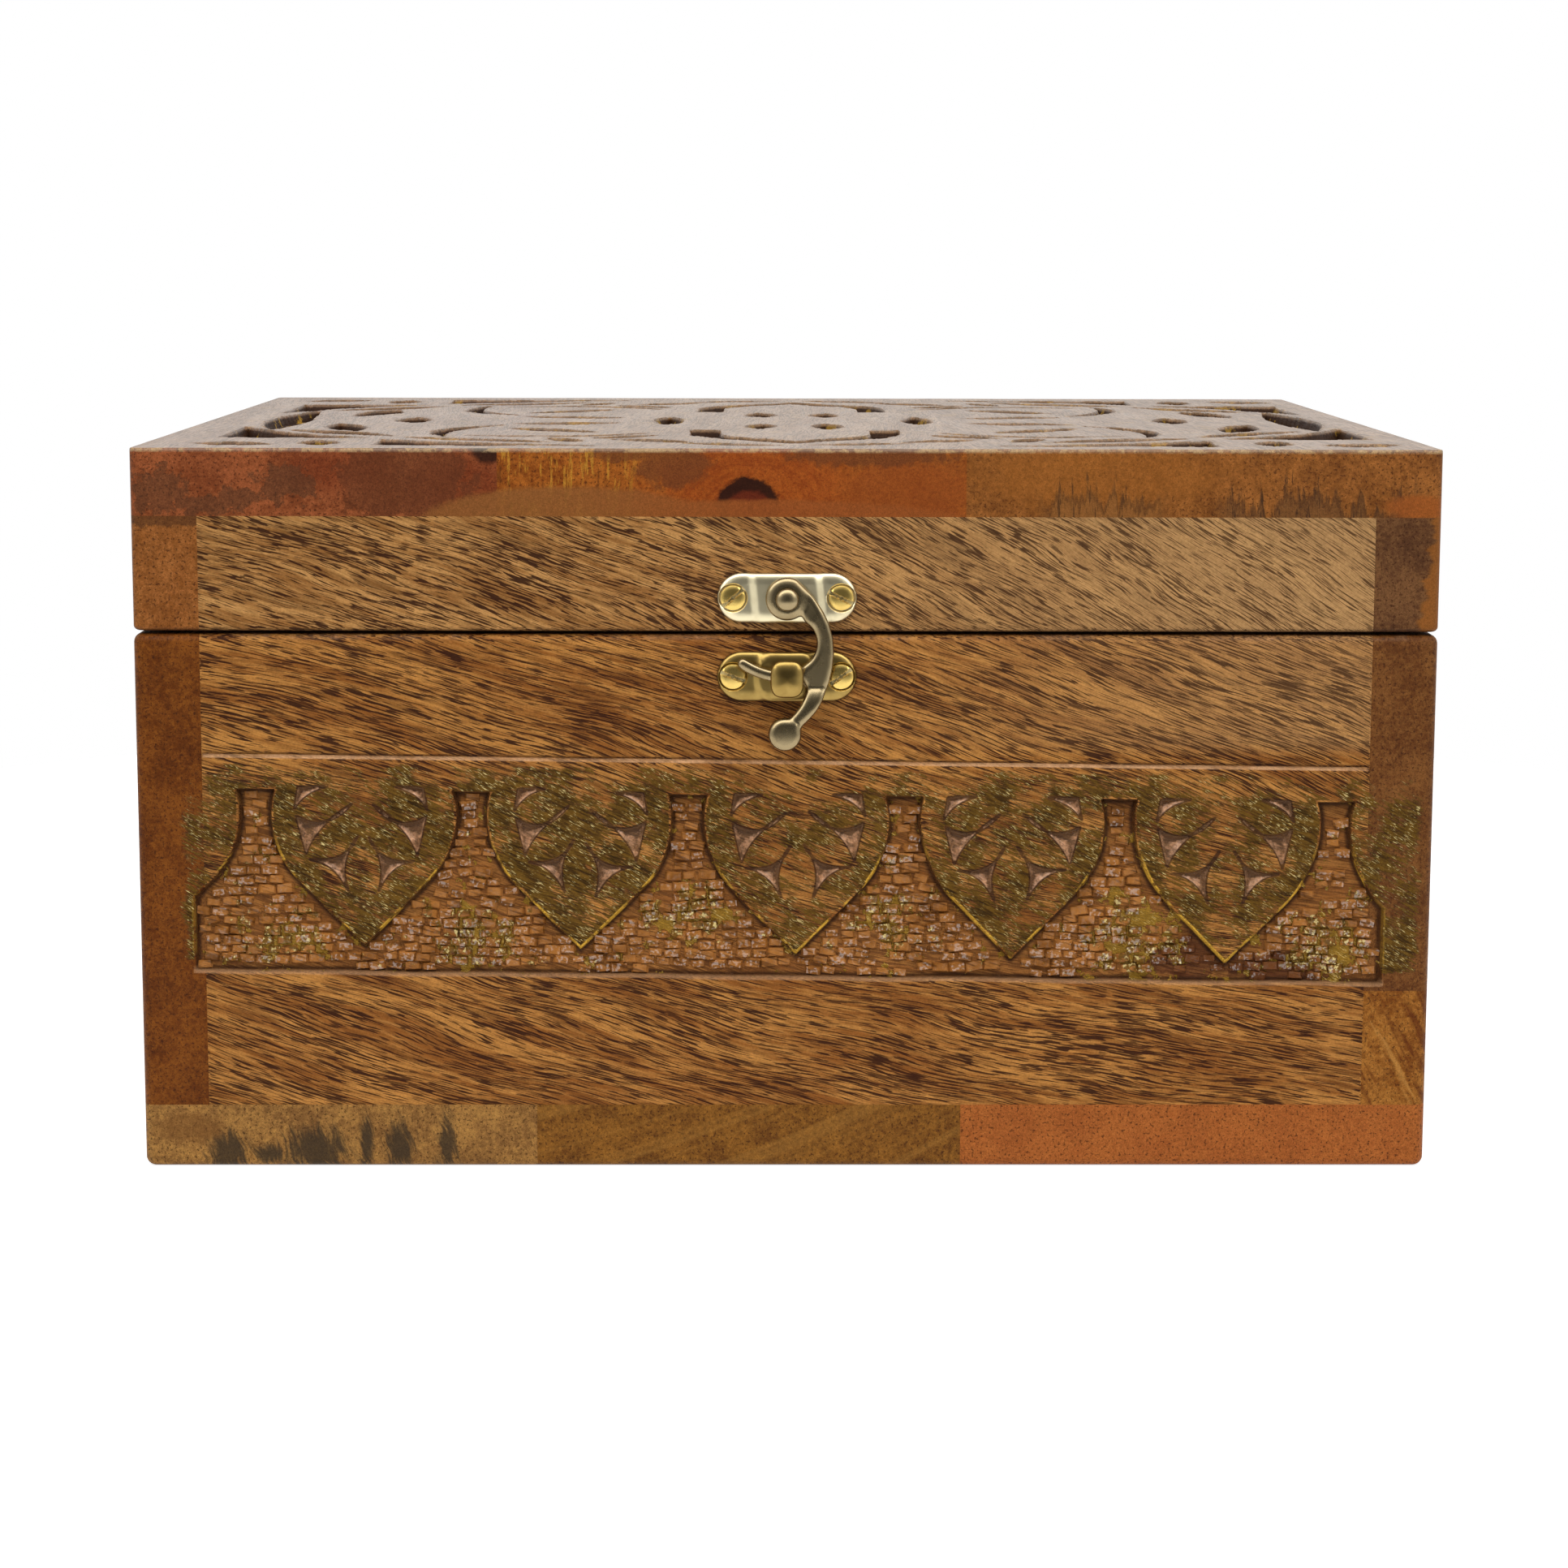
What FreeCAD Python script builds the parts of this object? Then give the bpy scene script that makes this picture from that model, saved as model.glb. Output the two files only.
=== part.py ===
"""Carved wooden jewelry box with a hinged lid and a brass swing-hook latch.

The frame: X to the right, Y to the back, Z up, origin at the middle of the base's underside. All sizes are in
millimetres. The box stands closed and latched.
"""
import FreeCAD, Part
import math
import os
import Sketcher

# Driving dimensions: one named value each.
SIZES = {
    # The box as a whole and its boards.
    "box_width": 254.0,
    "box_depth": 178.0,
    "box_height": 142.8,
    "wall_thickness": 13.0,
    "base_thickness": 12.7,
    "lid_gap": 0.6,
    "lid_rail_height": 22.4,
    "lid_board_thickness": 13.2,
    # Where the glued staves meet, as widths from the outer ends and a height from the base's top.
    "base_left_width": 77.8,
    "base_right_width": 92.4,
    "lid_left_width": 71.0,
    "lid_right_width": 92.4,
    "right_side_lower_height": 23.1,
    # Eased edges.
    "corner_round": 2.2,
    "rim_round": 1.7,
    "base_round": 1.8,
    "lid_lower_round": 1.0,
    "lid_upper_round": 1.2,
    # Carved band of shields round the body.
    "carving_depth": 1.6,
    "ground_lower_height": 25.3,
    "ground_height": 37.4,
    "shield_pitch": 42.0,
    "shield_shift": 1.9,
    "shield_gap": 6.4,
    "shield_tip_gap": 5.6,
    "shield_shoulder_drop": 5.1,
    "shield_shoulder_inset": 0.8,
    "shield_shoulder_radius": 21.0,
    "ground_end_margin": 13.0,
    # Carved top: how deep its cells are sunk and how far the pattern sits to the right.
    "top_carving_depth": 2.2,
    "top_shift": 2.0,
    # Back hinges.
    "lid_open_angle": 100.0,
    "lid_spare_angle": 4.0,
    "hinge_end_distance": 52.0,
    "hinge_inset": 3.0,
    "hinge_length": 30.0,
    "leaf_width": 9.0,
    "leaf_thickness": 1.2,
    "knuckle_radius": 2.2,
    "centre_knuckle_length": 10.0,
    "knuckle_gap": 0.3,
    "knuckle_room": 0.4,
    "pin_radius": 1.0,
    "pin_play": 0.05,
    "mortise_play": 0.1,
    "hinge_screw_spacing": 20.0,
    "hinge_screw_setback": 5.8,
    "hinge_screw_head_radius": 1.9,
    "hinge_screw_head_height": 1.0,
    "hinge_screw_shank_radius": 0.9,
    "hinge_screw_length": 10.0,
    # Latch plates and their screws.
    "plate_length": 27.1,
    "plate_width": 9.7,
    "plate_thickness": 1.0,
    "plate_rise": 0.8,
    "plate_rise_length": 13.6,
    "plate_rise_slope": 1.2,
    "hook_plate_height": 6.7,
    "catch_plate_drop": 8.1,
    "plate_screw_spacing": 21.0,
    "plate_screw_head_radius": 2.55,
    "plate_screw_head_height": 1.3,
    "plate_screw_shank_radius": 1.25,
    "plate_screw_length": 10.0,
    "screw_tip_length": 2.0,
    "screw_slot_width": 0.8,
    "screw_slot_depth": 0.6,
    "screw_play": 0.05,
    # Rivet, hook and catch post.
    "stem_setback": 0.2,
    "rivet_radius": 1.5,
    "rivet_head_radius": 2.25,
    "rivet_head_height": 1.3,
    "hook_play": 0.15,
    "hook_bore_play": 0.06,
    "hook_thickness": 1.6,
    "hook_eye_radius": 4.2,
    "hook_bow": 9.1,
    "hook_bow_drop": 10.0,
    "hook_bow_radius": 15.0,
    "hook_heel_radius": 40.0,
    "hook_arm_width": 3.4,
    "hook_arm_inner_radius": 5.0,
    "hook_neck_inset": 1.5,
    "hook_neck_drop": 2.0,
    "hook_tail_width": 3.9,
    "hook_tail_outer_radius": 13.0,
    "hook_tail_inner_radius": 7.4,
    "hook_ball_radius": 3.25,
    "hook_ball_drop": 10.8,
    "hook_ball_side": 0.4,
    "prong_width": 2.2,
    "prong_play": 0.3,
    "prong_tip": 8.3,
    "post_radius": 2.9,
    "knob_width": 6.4,
    "knob_height": 7.2,
    "knob_thickness": 2.0,
    "knob_corner_round": 2.2,
    "knob_edge_round": 0.7,
}

# Sunk cells of the carved top, one for each set mirrored over the lid: what its distances along and across
# the lid count from, then for each corner both distances and the bulge of the run that leaves it to the left.
TOP_CELLS = {
    "corner_leaf": ("end", "edge", [(8.0, 15.0, 4.0), (23.0, 12.5, 4.0)]),
    "stem_leaf": ("end", "edge", [(31.5, 24.0, 3.4), (33.0, 11.0, 3.4)]),
    "front_corner": ("end", "edge", [(44.0, 26.0, 0.0), (44.0, 10.0, 0.0), (87.0, 9.7, 1.6)]),
    "side_corner": ("end", "edge", [(10.0, 64.0, 0.0), (10.0, 31.0, 0.0), (39.0, 31.0, 2.7)]),
    "ring_end": ("end", "middle", [(16.5, -32.0, 3.0), (16.5, 32.0, 5.5)]),
    "ring_leaf": ("end", "middle", [(21.0, 34.0, 4.0), (44.0, 53.0, 2.3)]),
    "ring_flank": ("end", "edge", [(48.0, 32.0, 3.5), (77.0, 19.5, 2.4)]),
    "end_leaf": ("end", "middle", [(28.0, 13.0, 4.0), (35.0, 37.0, 4.0)]),
    "end_eye": ("end", "middle", [(43.0, -9.0, 3.5), (43.0, 9.0, 3.5)]),
    "scroll": ("end", "middle", [(55.0, 53.0, 8.0), (64.0, 18.0, -4.5)]),
    "outer_branch": ("middle", "edge", [(50.0, 31.5, 2.4), (43.5, 21.0, 2.4)]),
    "upper_branch": ("middle", "edge", [(41.0, 31.5, 2.6), (29.0, 40.0, 2.6)]),
    "lower_branch": ("middle", "edge", [(36.5, 28.0, 2.8), (21.5, 19.5, 2.8)]),
    "tip_leaf": ("middle", "edge", [(22.5, 17.0, 2.4), (3.5, 11.4, 2.2)]),
    "bowl": ("middle", "middle", [(31.0, 43.0, 7.0), (67.0, 50.0, -4.6)]),
    "bowl_leaf": ("middle", "middle", [(42.0, 40.0, 3.5), (60.0, 27.0, 3.5)]),
    "side_leaf": ("middle", "middle", [(39.0, 9.0, 3.3), (60.0, 13.0, 3.3)]),
    "waist_leaf": ("middle", "middle", [(27.5, -13.0, 3.0), (27.5, 13.0, 3.0)]),
    "heart_leaf": ("middle", "middle", [(7.0, 12.0, 3.2), (7.5, 28.0, 3.2)]),
    "pointed_arch": (
        "middle",
        "edge",
        [
            (21.5, 57.0, 0.0),
            (21.5, 43.0, -2.5),
            (9.0, 26.5, 0.0),
            (0.0, 18.0, 0.0),
            (-9.0, 26.5, -2.5),
            (-21.5, 43.0, 0.0),
            (-21.5, 57.0, 0.0),
            (-16.0, 57.0, 0.0),
            (-16.0, 44.0, 2.0),
            (-6.5, 30.5, 0.0),
            (0.0, 22.5, 0.0),
            (6.5, 30.5, 2.0),
            (16.0, 44.0, 0.0),
            (16.0, 57.0, 0.0),
        ],
    ),
}
for cell, (along_from, across_from, corners) in TOP_CELLS.items():
    for number, corner in enumerate(corners, 1):
        for part, size in zip(("along", "across", "bulge"), corner):
            SIZES[f"{cell}_{part}_{number}"] = size

# How far each screw's slot is turned, in degrees, as found on the latch from left to right, top to bottom.
PLATE_SCREW_TURNS = {"hook_plate_screws": (40, -25), "catch_plate_screws": (-20, 35)}
HINGE_SCREW_TURNS = (15, -50)

# Where the hook's arm leaves its eye, and where the round end meets the tail, as turns round each of them.
ARM_OUTER_TURN = "60 deg"
ARM_INNER_TURN = "50 deg"
TAIL_OUTER_TURN = "25 deg"
TAIL_INNER_TURN = "75 deg"

# The slope at which a shield's sides run to its tip.
SHIELD_SLOPE = "45 deg"

doc = FreeCAD.newDocument("jewelry_box")
sheet = doc.addObject("Spreadsheet::Sheet", "sizes")
for row, (alias, size) in enumerate(SIZES.items(), 1):
    sheet.set(f"B{row}", str(size))
    sheet.setAlias(f"B{row}", alias)
doc.recompute()

# Levels and places that several pieces share, as expressions on the sheet.
HALF_WIDTH = "(sizes.box_width / 2)"
HALF_DEPTH = "(sizes.box_depth / 2)"
INNER_X = f"({HALF_WIDTH} - sizes.wall_thickness)"
INNER_Y = f"({HALF_DEPTH} - sizes.wall_thickness)"
TOP = "sizes.box_height"
LID_ROOF = f"({TOP} - sizes.lid_board_thickness)"
LID_FLOOR = f"({LID_ROOF} - sizes.lid_rail_height)"
RIM = f"({LID_FLOOR} - sizes.lid_gap)"
HINGE_Y = f"({HALF_DEPTH} - sizes.hinge_inset)"
HINGE_Z = f"({RIM} + sizes.lid_gap / 2)"
BEVEL_SLOPE = "tan((sizes.lid_open_angle + sizes.lid_spare_angle) / 2 * 1 deg)"
BEVEL_START_Y = f"({HINGE_Y} + sizes.lid_gap / 2 / {BEVEL_SLOPE})"
BEVEL_DROP = f"(sizes.hinge_inset * {BEVEL_SLOPE})"
PIVOT_Z = f"({LID_FLOOR} + sizes.hook_plate_height)"
CATCH_Z = f"({RIM} - sizes.catch_plate_drop)"
REACH = "(sizes.hook_plate_height + sizes.lid_gap + sizes.catch_plate_drop)"
PLATE_TOP = "(sizes.plate_thickness + sizes.plate_rise)"
HOOK_BACK = f"({PLATE_TOP} + sizes.hook_play)"
HEAD_FLOOR = f"({HOOK_BACK} + sizes.hook_thickness + sizes.hook_play)"

X_AXIS = FreeCAD.Vector(1, 0, 0)
Y_AXIS = FreeCAD.Vector(0, 1, 0)
Z_AXIS = FreeCAD.Vector(0, 0, 1)
UPRIGHT = FreeCAD.Rotation()
UPSIDE_DOWN = FreeCAD.Rotation(X_AXIS, 180)
TO_THE_FRONT = FreeCAD.Rotation(X_AXIS, 90)
TO_THE_RIGHT = FreeCAD.Rotation(Y_AXIS, 90)

TOUCHING = 1e-4
pieces = {}


def value(expression):
    """The number that an expression on the sheet gives now."""
    return float(sheet.evalExpression(expression))


def bind(item, **expressions):
    """Ties properties of an object to expressions on the sheet."""
    for name, expression in expressions.items():
        item.setExpression(name, expression)
    return item


def place(item, x, y, z, turn=UPRIGHT):
    """Turns an object and ties its place to expressions on the sheet."""
    item.Placement = FreeCAD.Placement(FreeCAD.Vector(), turn)
    for axis, expression in zip("xyz", (x, y, z)):
        item.setExpression(f"Placement.Base.{axis}", expression)
    return item


def piece(label, item):
    """Names a finished sub-part."""
    item.Label = label
    pieces[label] = item
    return item


def new_body(name):
    return doc.addObject("PartDesign::Body", name)


def new_sketch(body, name, plane, offset):
    """An empty sketch on one of the body's own origin planes, moved along its normal."""
    sketch = body.newObject("Sketcher::SketchObject", name)
    support = next(item for item in body.Origin.OriginFeatures if item.Role == plane)
    sketch.AttachmentSupport = [(support, "")]
    sketch.MapMode = "FlatFace"
    sketch.setExpression("AttachmentOffset.Base.z", offset)
    return sketch


def hold(sketch, kind, *where, expression):
    """Adds a dimension to a sketch and ties it to the sheet."""
    index = sketch.addConstraint(Sketcher.Constraint(kind, *where, value(expression)))
    sketch.setExpression(f"Constraints[{index}]", expression)


def run_between(start, end, bend):
    """A straight run, or an arc of the radius in bend, which is positive where it bulges to the left."""
    if bend is None:
        return Part.LineSegment(start, end)
    radius = value(bend.lstrip("-"))
    side = -1 if bend.startswith("-") else 1
    half = (end - start) * 0.5
    left = FreeCAD.Vector(-half.y, half.x, 0).normalize()
    bulge = radius - math.sqrt(max(radius ** 2 - half.Length ** 2, 0))
    return Part.Arc(start, start + half + left * side * bulge, end)


def outline(sketch, corners):
    """A closed outline; a corner is x, y and the bend of the run that leaves it, None for a straight one."""
    points = [FreeCAD.Vector(value(x), value(y), 0) for x, y, bend in corners]
    first = sketch.GeometryCount
    ends = []
    for index, (x, y, bend) in enumerate(corners):
        after = points[(index + 1) % len(points)]
        run = sketch.addGeometry(run_between(points[index], after, bend))
        starts = (sketch.getPoint(run, 1) - points[index]).Length < TOUCHING
        ends.append((1, 2) if starts else (2, 1))
    for index, (x, y, bend) in enumerate(corners):
        run = first + index
        after = (index + 1) % len(corners)
        sketch.addConstraint(
            Sketcher.Constraint("Coincident", run, ends[index][1], first + after, ends[after][0])
        )
        hold(sketch, "DistanceX", run, ends[index][0], expression=x)
        hold(sketch, "DistanceY", run, ends[index][0], expression=y)
        if bend is not None:
            hold(sketch, "Radius", run, expression=bend.lstrip("-"))
    return sketch


def circle(sketch, x, y, radius):
    """A round outline."""
    middle = FreeCAD.Vector(value(x), value(y), 0)
    ring = sketch.addGeometry(Part.Circle(middle, FreeCAD.Vector(0, 0, 1), value(radius)))
    hold(sketch, "DistanceX", ring, 3, expression=x)
    hold(sketch, "DistanceY", ring, 3, expression=y)
    hold(sketch, "Radius", ring, expression=radius)
    return sketch


def rectangle(x0, x1, y0, y1):
    return [(x0, y0, None), (x1, y0, None), (x1, y1, None), (x0, y1, None)]


def pad(body, sketch, length):
    """Grows a sketch along its normal."""
    feature = body.newObject("PartDesign::Pad", f"{sketch.Name}_pad")
    feature.Profile = sketch
    bind(feature, Length=length)
    doc.recompute()
    return feature


def pocket(body, sketch, depth, reverse=False):
    """Sinks a sketch into the body, and fails if that takes nothing away."""
    before = body.Shape.Volume
    feature = body.newObject("PartDesign::Pocket", f"{sketch.Name}_pocket")
    feature.Profile = sketch
    feature.Reversed = reverse
    bind(feature, Length=depth)
    doc.recompute()
    if not body.Shape.Volume < before - TOUCHING:
        raise RuntimeError(f"{feature.Name} cuts nothing")
    return feature


def round_edges(body, radius, *lines):
    """Rounds the body's straight edges that lie on the given lines, each a pair of fixed coordinates."""
    names = []
    for index, edge in enumerate(body.Shape.Edges, 1):
        for line in lines:
            fixed = [(axis, value(expression)) for axis, expression in line.items()]
            if all(abs(getattr(v.Point, a) - at) < TOUCHING for v in edge.Vertexes for a, at in fixed):
                names.append(f"Edge{index}")
    if not names:
        raise RuntimeError(f"{body.Name} has no edge to round")
    before = body.Tip
    feature = body.newObject("PartDesign::Fillet", f"{body.Name}_round")
    feature.Base = (before, names)
    bind(feature, Radius=radius)
    doc.recompute()
    return feature


def board(name, x0, x1, y0, y1, z0, z1):
    """A square-edged board."""
    body = new_body(f"{name}_body")
    sketch = new_sketch(body, f"{name}_face", "XY_Plane", z0)
    outline(sketch, rectangle(x0, x1, y0, y1))
    pad(body, sketch, f"{z1} - {z0}")
    return body


def profile_board(name, x0, x1, corners):
    """A board along X with a shaped end."""
    body = new_body(f"{name}_body")
    sketch = new_sketch(body, f"{name}_end", "YZ_Plane", x0)
    outline(sketch, [(y, z, None) for y, z in corners])
    pad(body, sketch, f"{x1} - {x0}")
    return body


def solid(kind, name, **expressions):
    """A Part primitive whose sizes are tied to the sheet."""
    return bind(doc.addObject(f"Part::{kind}", name), **expressions)


def cylinder(name, radius, height):
    return solid("Cylinder", name, Radius=radius, Height=height)


def cone(name, lower, upper, height):
    return solid("Cone", name, Radius1=lower, Radius2=upper, Height=height)


def fuse(name, *items):
    joined = doc.addObject("Part::MultiFuse", name)
    joined.Shapes = list(items)
    return joined


def cut(name, base, *tools):
    """The base less every tool."""
    for index, tool in enumerate(tools):
        less = doc.addObject("Part::Cut", f"{name}_cut{index}")
        less.Base = base
        less.Tool = tool
        base = less
    return base


def copy(name, item, x, y, z, turn=UPRIGHT):
    """Another one of the same object, in its own place."""
    link = doc.addObject("App::Link", name)
    link.LinkedObject = item
    return place(link, x, y, z, turn)


def group(label, *items):
    """Separate like solids that share one name."""
    together = doc.addObject("Part::Compound", f"{label}_group")
    together.Links = list(items)
    return piece(label, together)


def screw(name, size, play="0"):
    """A countersunk wood screw, head up, its head's face at the origin; with play it is the hole for it."""
    head_radius = f"sizes.{size}_head_radius + {play}"
    shank_radius = f"sizes.{size}_shank_radius + {play}"
    head_height = f"sizes.{size}_head_height"
    length = f"sizes.{size}_length"
    tip = "sizes.screw_tip_length"
    head = place(cone(f"{name}_head", shank_radius, head_radius, head_height), "0", "0", f"-{head_height}")
    shank = cylinder(f"{name}_shank", shank_radius, f"{length} - {head_height} - {tip}")
    place(shank, "0", "0", f"{tip} - {length}")
    point = place(cone(f"{name}_point", play, shank_radius, tip), "0", "0", f"-{length}")
    return fuse(f"{name}_whole", head, shank, point)


def slotted_screw(name, size):
    """A screw with its driver slot."""
    width = f"2 * sizes.{size}_head_radius"
    across = "sizes.screw_slot_width"
    depth = "sizes.screw_slot_depth"
    slot = solid("Box", f"{name}_slot", Length=width, Width=across, Height=depth)
    place(slot, f"-{width} / 2", f"-{across} / 2", f"-{depth}")
    return cut(name, screw(name, size), slot)


def front_cylinder(name, x, z, start, end, radius):
    """A cylinder that stands out of the front, from one height above the front face to another."""
    return place(cylinder(name, radius, f"{end} - {start}"), x, f"-{HALF_DEPTH} - {start}", z, TO_THE_FRONT)


def hinge_cylinder(name, start, end, radius):
    """A cylinder on the hinges' axis."""
    return place(cylinder(name, radius, f"{end} - ({start})"), start, HINGE_Y, HINGE_Z, TO_THE_RIGHT)


def shield_ground(sketch, length, shift, end):
    """The sunk ground between the shields of one side, from end to end, along a side of the given length."""
    count = round(value(f"({length}) / sizes.shield_pitch"))
    pitch = f"(({length}) / {count})"
    half_shield = f"(({pitch} - sizes.shield_gap) / 2)"
    bottom = "(sizes.base_thickness + sizes.ground_lower_height)"
    top = f"({bottom} + sizes.ground_height)"
    tip = f"({bottom} + sizes.shield_tip_gap)"
    widest = f"({top} - sizes.shield_shoulder_drop)"
    slope = f"tan({SHIELD_SLOPE})"
    radius = f"(({widest} - {tip} - {half_shield} * {slope}) / (1 / cos({SHIELD_SLOPE}) - {slope}))"
    bend_in = f"({half_shield} - {radius} * (1 - cos({SHIELD_SLOPE})))"
    bend_z = f"({widest} - {radius} * sin({SHIELD_SLOPE}))"
    shoulder = "-sizes.shield_shoulder_radius"
    middles = [f"({shift} - ({length}) / 2 + {index} * {pitch})" for index in range(count + 1)]
    shoulder_out = f"({half_shield} - sizes.shield_shoulder_inset)"

    def end_corners(x, distance):
        """The ground's end, up to the half shield at the corner, whose middle is at the given distance."""
        if value(distance) < value(bend_in):
            rise = f"({tip} + ({distance}) * {slope})"
            return [(x, bottom, None), (x, rise, None)], True
        rise = f"({widest} - sqrt({radius} ^ 2 - ({radius} - {half_shield} + {distance}) ^ 2))"
        return [(x, bottom, None), (x, rise, f"-{radius}")], False

    corners, bends = end_corners(f"-({end})", f"(-({end}) - {middles[0]})")
    for before, after in zip(middles, middles[1:]):
        if bends or before is not middles[0]:
            corners.append((f"{before} + {bend_in}", bend_z, f"-{radius}"))
        corners.append((f"{before} + {half_shield}", widest, shoulder))
        corners.append((f"{before} + {shoulder_out}", top, None))
        corners.append((f"{after} - {shoulder_out}", top, shoulder))
        corners.append((f"{after} - {half_shield}", widest, f"-{radius}"))
        if after is not middles[-1]:
            corners.append((f"{after} - {bend_in}", bend_z, None))
            corners.append((after, tip, None))
    right_end, bends = end_corners(end, f"({middles[-1]} - ({end}))")
    if bends:
        corners.append((f"{middles[-1]} - {bend_in}", bend_z, None))
    corners += [(x, z, None) for x, z, bend in reversed(right_end)]
    return outline(sketch, corners)


def base_boards():
    """The base, glued up from three staves."""
    left_joint = f"(sizes.base_left_width - {HALF_WIDTH})"
    right_joint = f"({HALF_WIDTH} - sizes.base_right_width)"
    spans = {
        "base_board_left": (f"-{HALF_WIDTH}", left_joint),
        "base_board_middle": (left_joint, right_joint),
        "base_board_right": (right_joint, HALF_WIDTH),
    }
    for name, (start, end) in spans.items():
        body = board(name, start, end, f"-{HALF_DEPTH}", HALF_DEPTH, "0", "sizes.base_thickness")
        lower = [{"y": f"-{HALF_DEPTH}", "z": "0"}, {"y": HALF_DEPTH, "z": "0"}]
        outer = {"base_board_left": f"-{HALF_WIDTH}", "base_board_right": HALF_WIDTH}.get(name)
        if outer:
            round_edges(body, "sizes.corner_round", *({"x": outer, "y": edge["y"]} for edge in lower))
            lower = [{"x": outer, "z": "0"}]
        round_edges(body, "sizes.base_round", *lower)
        piece(name, body)


def box_walls(hinge_cuts, front_holes):
    """The four walls: the sides run the full depth and the back edge is bevelled to stop the lid."""
    base = "sizes.base_thickness"
    front = board("front_board", f"-{INNER_X}", INNER_X, f"-{HALF_DEPTH}", f"-{INNER_Y}", base, RIM)
    round_edges(front, "sizes.rim_round", {"y": f"-{HALF_DEPTH}", "z": RIM})
    ground = new_sketch(front, "front_ground", "XZ_Plane", HALF_DEPTH)
    end = f"{HALF_WIDTH} - sizes.ground_end_margin"
    shield_ground(ground, "sizes.box_width", "sizes.shield_shift", end)
    pocket(front, ground, "sizes.carving_depth")
    piece("front_board", cut("front_board", front, *front_holes))

    bevel = [(HALF_DEPTH, f"{HINGE_Z} - {BEVEL_DROP}"), (BEVEL_START_Y, RIM)]
    corners = [(INNER_Y, base), (HALF_DEPTH, base), *bevel, (INNER_Y, RIM)]
    back = profile_board("back_board", f"-{INNER_X}", INNER_X, corners)
    piece("back_board", cut("back_board", back, *hinge_cuts))

    stave = f"({base} + sizes.right_side_lower_height)"
    piece("left_side_board", side_board("left_side_board", -1, base, bevel))
    piece("right_side_upper_board", side_board("right_side_upper_board", 1, stave, bevel))
    lower = board("right_side_lower_board", INNER_X, HALF_WIDTH, f"-{HALF_DEPTH}", HALF_DEPTH, base, stave)
    round_edges(lower, "sizes.corner_round", *side_corners(1))
    piece("right_side_lower_board", lower)


def side_corners(side):
    """The two upright outer corners of one side, -1 for the left and 1 for the right."""
    outer = HALF_WIDTH if side > 0 else f"-{HALF_WIDTH}"
    return [{"x": outer, "y": f"-{HALF_DEPTH}"}, {"x": outer, "y": HALF_DEPTH}]


def ease_side(body, side, radius, level):
    """Rounds a side's front corner, its long edge at the given level and then its back corner."""
    front, back = side_corners(side)
    round_edges(body, "sizes.corner_round", front)
    round_edges(body, radius, {"x": front["x"], "z": level})
    round_edges(body, "sizes.corner_round", back)


def side_board(name, side, start_z, bevel):
    """A side wall up to the rim, with its carved outer face."""
    outer = HALF_WIDTH if side > 0 else f"-{HALF_WIDTH}"
    span = (INNER_X, HALF_WIDTH) if side > 0 else (f"-{HALF_WIDTH}", f"-{INNER_X}")
    corners = [(f"-{HALF_DEPTH}", start_z), (HALF_DEPTH, start_z), *bevel, (f"-{HALF_DEPTH}", RIM)]
    body = profile_board(name, *span, corners)
    ease_side(body, side, "sizes.rim_round", RIM)
    ground = new_sketch(body, f"{name}_ground", "YZ_Plane", outer)
    shield_ground(ground, "sizes.box_depth", "0", f"{HALF_DEPTH} - sizes.ground_end_margin")
    pocket(body, ground, "sizes.carving_depth", reverse=side < 0)
    return body


def lid_rails(hinge_cuts, front_holes):
    """The rim of the lid, the mirror of the walls below it."""
    across = (f"-{HALF_DEPTH}", f"-{INNER_Y}")
    front = board("lid_front_rail", f"-{INNER_X}", INNER_X, *across, LID_FLOOR, LID_ROOF)
    round_edges(front, "sizes.lid_lower_round", {"y": f"-{HALF_DEPTH}", "z": LID_FLOOR})
    piece("lid_front_rail", cut("lid_front_rail", front, *front_holes))

    bevel = [(BEVEL_START_Y, LID_FLOOR), (HALF_DEPTH, f"{HINGE_Z} + {BEVEL_DROP}")]
    corners = [(INNER_Y, LID_FLOOR), *bevel, (HALF_DEPTH, LID_ROOF), (INNER_Y, LID_ROOF)]
    back = profile_board("lid_back_rail", f"-{INNER_X}", INNER_X, corners)
    piece("lid_back_rail", cut("lid_back_rail", back, *hinge_cuts))

    for name, side in (("lid_left_rail", -1), ("lid_right_rail", 1)):
        span = (INNER_X, HALF_WIDTH) if side > 0 else (f"-{HALF_WIDTH}", f"-{INNER_X}")
        front_edge = [(f"-{HALF_DEPTH}", LID_ROOF), (f"-{HALF_DEPTH}", LID_FLOOR)]
        body = profile_board(name, *span, [*front_edge, *bevel, (HALF_DEPTH, LID_ROOF)])
        ease_side(body, side, "sizes.lid_lower_round", LID_FLOOR)
        piece(name, body)


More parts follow.
